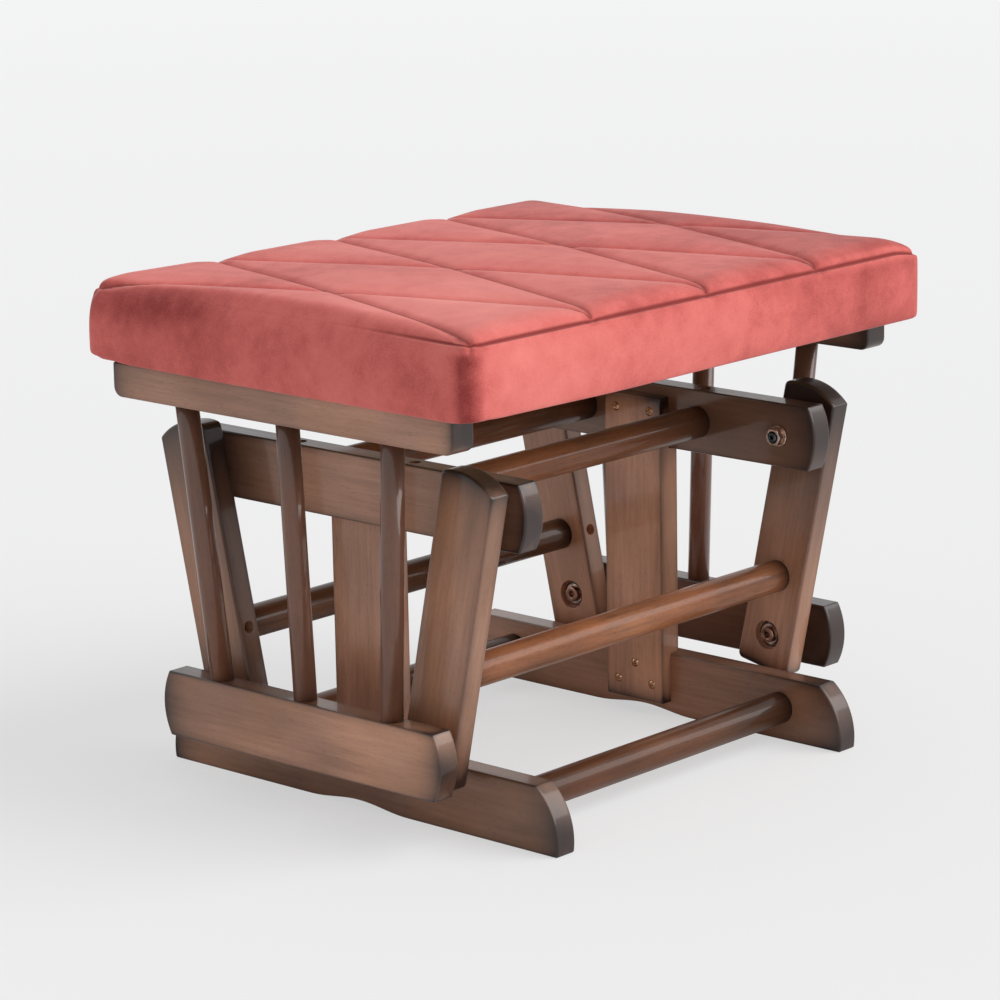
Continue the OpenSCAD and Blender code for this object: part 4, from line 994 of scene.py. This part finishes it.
def coverMarks(points, normals, c, m):
    # Small pleats that run out of the points where the stitched lines meet the seam, and a pinch
    # down the near corner; and painted light and shade in the colour: painted shade where the lines
    # meet the seam, down the near corner and under the left side's roll, the left side a little lighter
    # and darker towards its rear, painted light on the front side and on a spot of the top, both
    # painted darker towards the right. Each mark is a share times exp(-(distance / reach) ** 2).
    x, y, z = points.T
    left, front, seam = c["centreX"] - c["width"] / 2, -c["depth"] / 2, c["seam"]
    dent, paintedLightAndShade = np.zeros(len(points)), np.zeros(len(points))
    for number in range(c["crosses"] + 1):
        meetX = left + number * c["width"] / c["crosses"]
        for meetY in (front, -front):
            dx, dy = x - meetX, y - meetY
            away = np.hypot(dx, dy)
            folds = np.cos(m["pleats"] * np.arctan2(dy, dx) + number) * bell(away, m["pleatReach"], m["pleatReach"])
            dent += m["pleatDepth"] * folds * (z > seam - 4)
            # painted shade where the lines meet the seam
            paintedLightAndShade -= m["meetShade"] * bell(away, 0, m["meetReach"]) * (z > seam - 2)
    onSide = smoothStep(seam - 1, seam - 9, z)
    onLeft = smoothStep(0.35, 0.8, -normals[:, 0])
    onFront = smoothStep(0.35, 0.8, -normals[:, 1])
    onTop = smoothStep(0.6, 0.9, normals[:, 2])
    nearCorner = onSide * smoothStep(-0.2, 0.3, -normals[:, 0])
    dent += m["pinchDepth"] * bell(y - front, m["pinchAt"], m["pinchReach"]) * onSide * onLeft
    # painted shade down the near corner
    paintedLightAndShade -= m["cornerShade"] * bell(y - front, m["cornerAt"], m["cornerReach"]) * nearCorner
    # painted shade under the left side's roll
    paintedLightAndShade -= m["rollShade"] * onLeft * bell(y, m["rollY"], m["rollReachY"]) * bell(z, m["rollZ"], m["rollReachZ"])
    # the left side a little lighter, darker towards its rear
    paintedLightAndShade += onLeft * (m["leftLight"] - m["rearShade"] * bell(y, m["rearY"], m["rearReach"]))
    # painted light on the front side, painted darker towards the right
    paintedLightAndShade += (m["frontLight"] - m["frontFall"] * smoothStep(m["frontFrom"], m["frontTo"], x)) * onFront * onSide
    # a painted pool of light on the top, and painted shade towards its right
    spot = bell(x, m["topX"], m["topReachX"]) * bell(y, m["topY"], m["topReachY"])
    paintedLightAndShade += onTop * (m["topLight"] * spot - m["topFall"] * smoothStep(m["topFrom"], m["topTo"], x))
    return dent, np.clip(paintedLightAndShade, -1, 1)


def makeCushion(c):
    obj, held = cushionCage(c)
    fillCushion(obj, held, c)
    withoutCap(obj.data, False)
    finer = obj.modifiers.new("finer", "SUBSURF")
    finer.levels = finer.render_levels = 1
    applied(obj)
    withoutCap(obj.data, True)
    mesh = obj.data
    points = readPoints(mesh)
    normals = np.zeros(points.size, np.float32)
    mesh.vertices.foreach_get("normal", normals)
    normals = normals.reshape(-1, 3)
    # rounding the cage moved its points sideways: the plan follows, so that the stitched lines stay straight
    planX, planY, inward = readMark(mesh, "plan", "vector", 3).reshape(-1, 3).T
    halfX, halfY = c["width"] / 2, c["depth"] / 2
    meantX, meantY = topPlace(planX / halfX, planY / halfY, c)
    follow = smoothStep(2.0, 7.0, inward)
    planX = planX + (points[:, 0] / mm - c["centreX"] - meantX) * follow
    planY = planY + (points[:, 1] / mm - meantY) * follow
    plan = np.stack([planX, planY, inward], 1).astype(np.float32)
    mesh.attributes["plan"].data.foreach_set("vector", plan.ravel())
    # sewn channels: a valley depth * exp(-(distance / width) ** 2) along every stitched line and the seam
    stitch = np.exp(-(lineDistance(planX / halfX, planY / halfY, c) / c["stitchWidth"]) ** 2) * (inward > 0.01)
    seam = np.exp(-(readMark(mesh, "fromSeam") / c["seamWidth"]) ** 2) * (1 - 0.93 * readMark(mesh, "soft"))
    dent, paintedLightAndShade = coverMarks(points / mm, normals, c, markLook)
    points -= normals * (stitch * c["stitchDepth"] + seam * c["seamDepth"] + dent)[:, None] * mm
    mesh.vertices.foreach_set("co", points.astype(np.float32).ravel())
    # the seam's mark, which the velvet darkens as painted shade along the seam
    addMark(mesh, "sewn", seam)
    addMark(mesh, "paintedLightAndShade", paintedLightAndShade)
    mesh.polygons.foreach_set("use_smooth", np.ones(len(mesh.polygons), bool))
    mesh.update()
    finishPiece(obj, "seat", "velvet", makeVelvet(c, velvetLook), "cushion")


# sewn is the colour of the painted shade in the creases and along the seam, beside and crease how strong it is
velvetLook = {"base": (0.62, 0.135, 0.12, 1), "deep": (0.3, 0.046, 0.043, 1), "pale": (0.8, 0.235, 0.205, 1),
              "sewn": (0.2, 0.024, 0.022, 1), "sheenTint": (1.0, 0.66, 0.62, 1), "beside": 0.5, "crease": 0.85,
              "broadScale": 9.0, "markScale": 55.0, "napScale": 1000.0, "rough": 0.9, "sheen": 0.4}


def makeVelvet(c, look):
    # Short pile: hand marks at two sizes and the fine nap shift the rose towards a deeper or a
    # paler one, and so does the painted light and shade that the cover carries on its points
    material, tree, shader = newMaterial("velvet")
    place = ownPlace(tree)
    broad = noise(tree, place, look["broadScale"], 3.0, 0.55)
    marks = noise(tree, place, look["markScale"], 4.0, 0.62)
    nap = noise(tree, place, look["napScale"], 2.0, 0.6)
    lean = plus(tree, times(tree, broad, 0.62), times(tree, marks, 0.38))
    lean = plus(tree, lean, times(tree, minus(tree, nap, 0.5), 0.3))
    # painted light and shade from the cover's points
    lean = plus(tree, lean, times(tree, mark(tree, "paintedLightAndShade"), 0.3))
    colour = mixColour(tree, remap(tree, lean, 0.48, 0.86), look["base"], look["pale"])
    colour = mixColour(tree, remap(tree, lean, 0.5, 0.18), colour, look["deep"])
    # painted shade in the creases: distance to the two diagonals of each cross, |s * half -+ y * block / 2| /
    # length, and to the seam
    block, half = c["width"] / c["crosses"], c["depth"] / 2
    length = float(np.hypot(block / 2, half))
    x, y, inward = parts(tree, mark(tree, "plan", "Vector"))
    s = minus(tree, maths(tree, "MODULO", plus(tree, x, c["width"] / 2 + 0.001), block), block / 2)
    across, down = times(tree, s, half), times(tree, y, block / 2)
    nearest = maths(tree, "MINIMUM", maths(tree, "ABSOLUTE", minus(tree, across, down)),
                    maths(tree, "ABSOLUTE", plus(tree, across, down)))
    onTop = remap(tree, inward, 0.2, 1.5)
    line = times(tree, remap(tree, nearest, 0.0, c["creaseWidth"] * 1.7 * length, 1.0, 0.0), onTop)
    seam = remap(tree, maths(tree, "ABSOLUTE", inward), 0.0, c["creaseWidth"], 1.0, 0.0)
    seam = times(tree, seam, remap(tree, mark(tree, "soft"), 0.0, 0.8, 1.0, 0.08))
    crease = maths(tree, "MAXIMUM", times(tree, line, 0.62), seam)
    # a softer shade beside the lines, down to nothing at 1.25 times a channel's width, and along the seam
    beside = times(tree, remap(tree, nearest, 0.0, c["stitchWidth"] * 1.25 * length, 1.0, 0.0), onTop)
    sewn = maths(tree, "MAXIMUM", beside, maths(tree, "POWER", mark(tree, "sewn"), 2.0))
    # painted shade in and beside the sewn creases and the seam
    colour = mixColour(tree, times(tree, sewn, look["beside"]), colour, look["sewn"])
    colour = mixColour(tree, times(tree, crease, look["crease"]), colour, look["sewn"])
    fold = bumps(tree, times(tree, crease, -1.0), 0.6, 1.2 * mm)
    pileHeight = plus(tree, nap, times(tree, marks, 1.5))
    plug(shader, {"Base Color": colour, "Normal": bumps(tree, pileHeight, 0.35, 0.4 * mm, fold),
                  "Roughness": look["rough"], "Specular IOR Level": 0.15, "Sheen Weight": look["sheen"],
                  "Sheen Roughness": 0.4, "Sheen Tint": look["sheenTint"]})
    return material


makeCushion(cushion)
print("cushion made")

hardware = inMetres({"headRadius": 3.4, "headRise": 2.2, "shank": 2.0, "shankLength": 9, "crossWidth": 1.0,
                     "crossReach": 2.0, "crossDepth": 1.2, "proud": 1.2, "nutFlats": 13, "nutFace": 159.1,
                     "nutThick": 6.5, "nutEdge": 0.9, "bore": 4.1, "washerRadius": 8.5, "washerThick": 1.6,
                     "studRadius": 4, "studEnd": 151.2, "studInner": 206, "socket": 1.7, "socketDepth": 3.0,
                     "boltRadius": 6.5, "boltHead": 4, "boltFace": 191.9, "boltEnd": 238, "boltSocket": 3.1,
                     "boltSocketDepth": 3.6, "rim": 0.3, "edge": 0.7, "tip": 0.2},
                    boltGroove=np.array([[0.4, 0], [0, 0.4], [0, 0.9], [0.45, 1.2], [0.45, 1.6], [0, 1.9]]) * mm,
                    boltRim=np.array([[0, -0.8], [0.25, -0.3], [0.8, 0]]) * mm)


def hexRadius(flats, angle):
    # a hexagon's radius by angle: half its flats over the cosine of the angle to the nearest flat
    return flats / 2 / np.cos((angle % (np.pi / 3)) - np.pi / 6)


def makeScrews():
    # domed heads, height = rise * (1 - 0.8 * (r / R) ** 2), with a cross sunk into them
    h = hardware
    shares = np.array([1.0, 0.97, 0.9, 0.8, 0.7, 0.62, 0.55, 0.48, 0.41, 0.34, 0.27, 0.2, 0.13, 0.06, 0.01])
    dome = np.stack([h["headRise"] * (1 - 0.8 * shares ** 2), shares * h["headRadius"]], 1)
    profile = np.concatenate([[[-h["shankLength"], h["shank"]], [0, h["shank"]], [0, h["headRadius"] * 0.99],
                               [0.1 * mm, h["headRadius"]]], dome])

    def cross(reach, radius, angle):
        a, b = np.abs(radius * np.cos(angle)), np.abs(radius * np.sin(angle))
        inside = np.zeros_like(radius)
        for p, q in ((a, b), (b, a)):
            arm = smoothStep(0.62, 0.38, p / h["crossWidth"]) * smoothStep(1.05, 0.8, q / h["crossReach"])
            inside = np.maximum(inside, arm)
        return reach - inside * h["crossDepth"] * (reach > 0.2 * h["headRise"]), radius

    for side in (-1, 1):
        heads = []
        for number, (_, y, z) in enumerate(screwPlaces(side)):
            place = [side * (uprights["in"] + h["headRise"] - h["proud"]), y, z]
            heads.append(turned(f"screw{number}", place, [-side, 0, 0], profile, 64, cross))
        screws = crispFaces(joinParts("uprightScrews" + sideNames[side], heads), 1.0)
        finishPiece(screws, "base", "brass", metals["brass"], "upright_screws")


def makePivots():
    # upper pivots: a stud with a socket in its end, a chamfered nut and a washer with round edges
    h = hardware
    rim, edge, tip = h["rim"], h["edge"], h["tip"]
    r, q, deep = h["studRadius"], h["socket"], h["socketDepth"]
    stud = [(deep, tip), (deep, q), (rim, q), (0, q + rim), (0, r - edge), (edge, r),
            (h["studInner"] - h["studEnd"], r)]
    flats, thick, bore, chamfer = h["nutFlats"], h["nutThick"], h["bore"], h["nutEdge"]
    corner = flats / 2 / np.cos(np.pi / 6)
    face = flats / 2 * 0.96
    slope = list(zip(np.linspace(0.1 * mm, chamfer, 5), np.linspace(flats / 2 * 0.975, corner, 5)))
    nut = [(0, bore), (0, face), *slope, *((thick - x, f) for x, f in slope[::-1]),
           (thick, face), (thick, bore + chamfer), (thick - chamfer, bore)]
    w, t = h["washerRadius"], h["washerThick"]
    washer = [(0, bore), (0, w - rim), (rim, w), (t - rim, w), (t, w - rim), (t, bore)]

    def sixSided(reach, radius, angle):
        return reach, np.where(radius > bore * 1.3, np.minimum(radius, hexRadius(flats, angle)), radius)

    # profile, steps, shape, bored, where it starts, outwards or inwards, metal
    kinds = {"Studs": (stud, 48, None, False, h["studEnd"], 1, "stud_steel"),
             "Nuts": (nut, 96, sixSided, True, h["nutFace"], -1, "bronze_steel"),
             "Washers": (washer, 64, None, True, h["nutFace"], 1, "bronze_steel")}
    for end in (-1, 1):
        for kind, (profile, steps, shape, bored, x, way, metal) in kinds.items():
            pair = [turned(kind, [side * x, end * pivots["topY"], pivots["topZ"]], [side * way, 0, 0], profile,
                           steps, shape, bored) for side in (-1, 1)]
            piece = crispFaces(joinParts(endNames[end] + "Pivot" + kind, pair), 1.0)
            node = endNames[end] + "_pivot_" + kind.lower()
            finishPiece(piece, endNames[end] + "_arms", "bronze_steel", metals[metal], node)


def makeLowerBolts():
    # Socket heads with a groove and a chamfered rim, sunk in the arms' recesses: the groove is given
    # by its depth and its distance from the socket's edge, the rim by its distance from the head's
    h = hardware
    r, q, deep = h["boltRadius"], h["boltSocket"], h["boltSocketDepth"]
    profile = [(deep, h["tip"]), (deep, q), *(h["boltGroove"] + [0, q]), *(h["boltRim"] + [0, r]),
               (h["boltHead"], r), (h["boltHead"], h["studRadius"]),
               (h["boltEnd"] - h["boltFace"], h["studRadius"])]

    def socket(reach, radius, angle):
        inner = (radius > q * 0.5) & (radius < q * 1.02)
        return reach, np.where(inner, hexRadius(2 * q * np.cos(np.pi / 6), angle), radius)

    places = [(side, [side * h["boltFace"], end * pivots["lowY"], pivots["lowZ"]])
              for side in (-1, 1) for end in (-1, 1)]
    bolts = [turned("bolt", place, [side, 0, 0], profile, 96, socket) for side, place in places]
    piece = crispFaces(joinParts("lowerPivotBolts", bolts), 1.0)
    finishPiece(piece, "seat", "bronze_steel", metals["bolt_bronze"], "lower_pivot_bolts")


makeScrews()
makePivots()
makeLowerBolts()
print("screws, nuts and bolts made")


def makePlainWood(name, look):
    # birch, unstained: rings and fine fibres drawn out along the width
    material, tree, shader = newMaterial(name)
    place = ownPlace(tree)
    rings, fibre = (noise(tree, vectorMaths(tree, "MULTIPLY", place, scales), 1.0, 3.0, 0.6)
                    for scales in ((3, 40, 40), (30, 900, 900)))
    colour = mixColour(tree, remap(tree, rings, 0.4, 0.6), look["low"], look["high"])
    colour = mixColour(tree, remap(tree, fibre, 0.5, 0.75, 0.0, 0.5), colour, look["fibre"])
    plug(shader, {"Base Color": colour, "Normal": bumps(tree, fibre, 0.2, 0.2 * mm), "Roughness": look["rough"]})
    return material


# the CAD nodes that stay in sight take the same metals, and the hidden ones a plain wood
plainLook = {"low": rgb(176, 138, 98), "high": rgb(206, 172, 128), "fibre": rgb(140, 102, 66), "rough": 0.62}
nodeMaterials = dict(metals, plain_wood=makePlainWood("plain_wood", plainLook))
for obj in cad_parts.values():
    slotName = obj.data.materials[0].name if obj.data.materials else ""
    if slotName in nodeMaterials:
        obj.data.materials[0] = nodeMaterials[slotName]
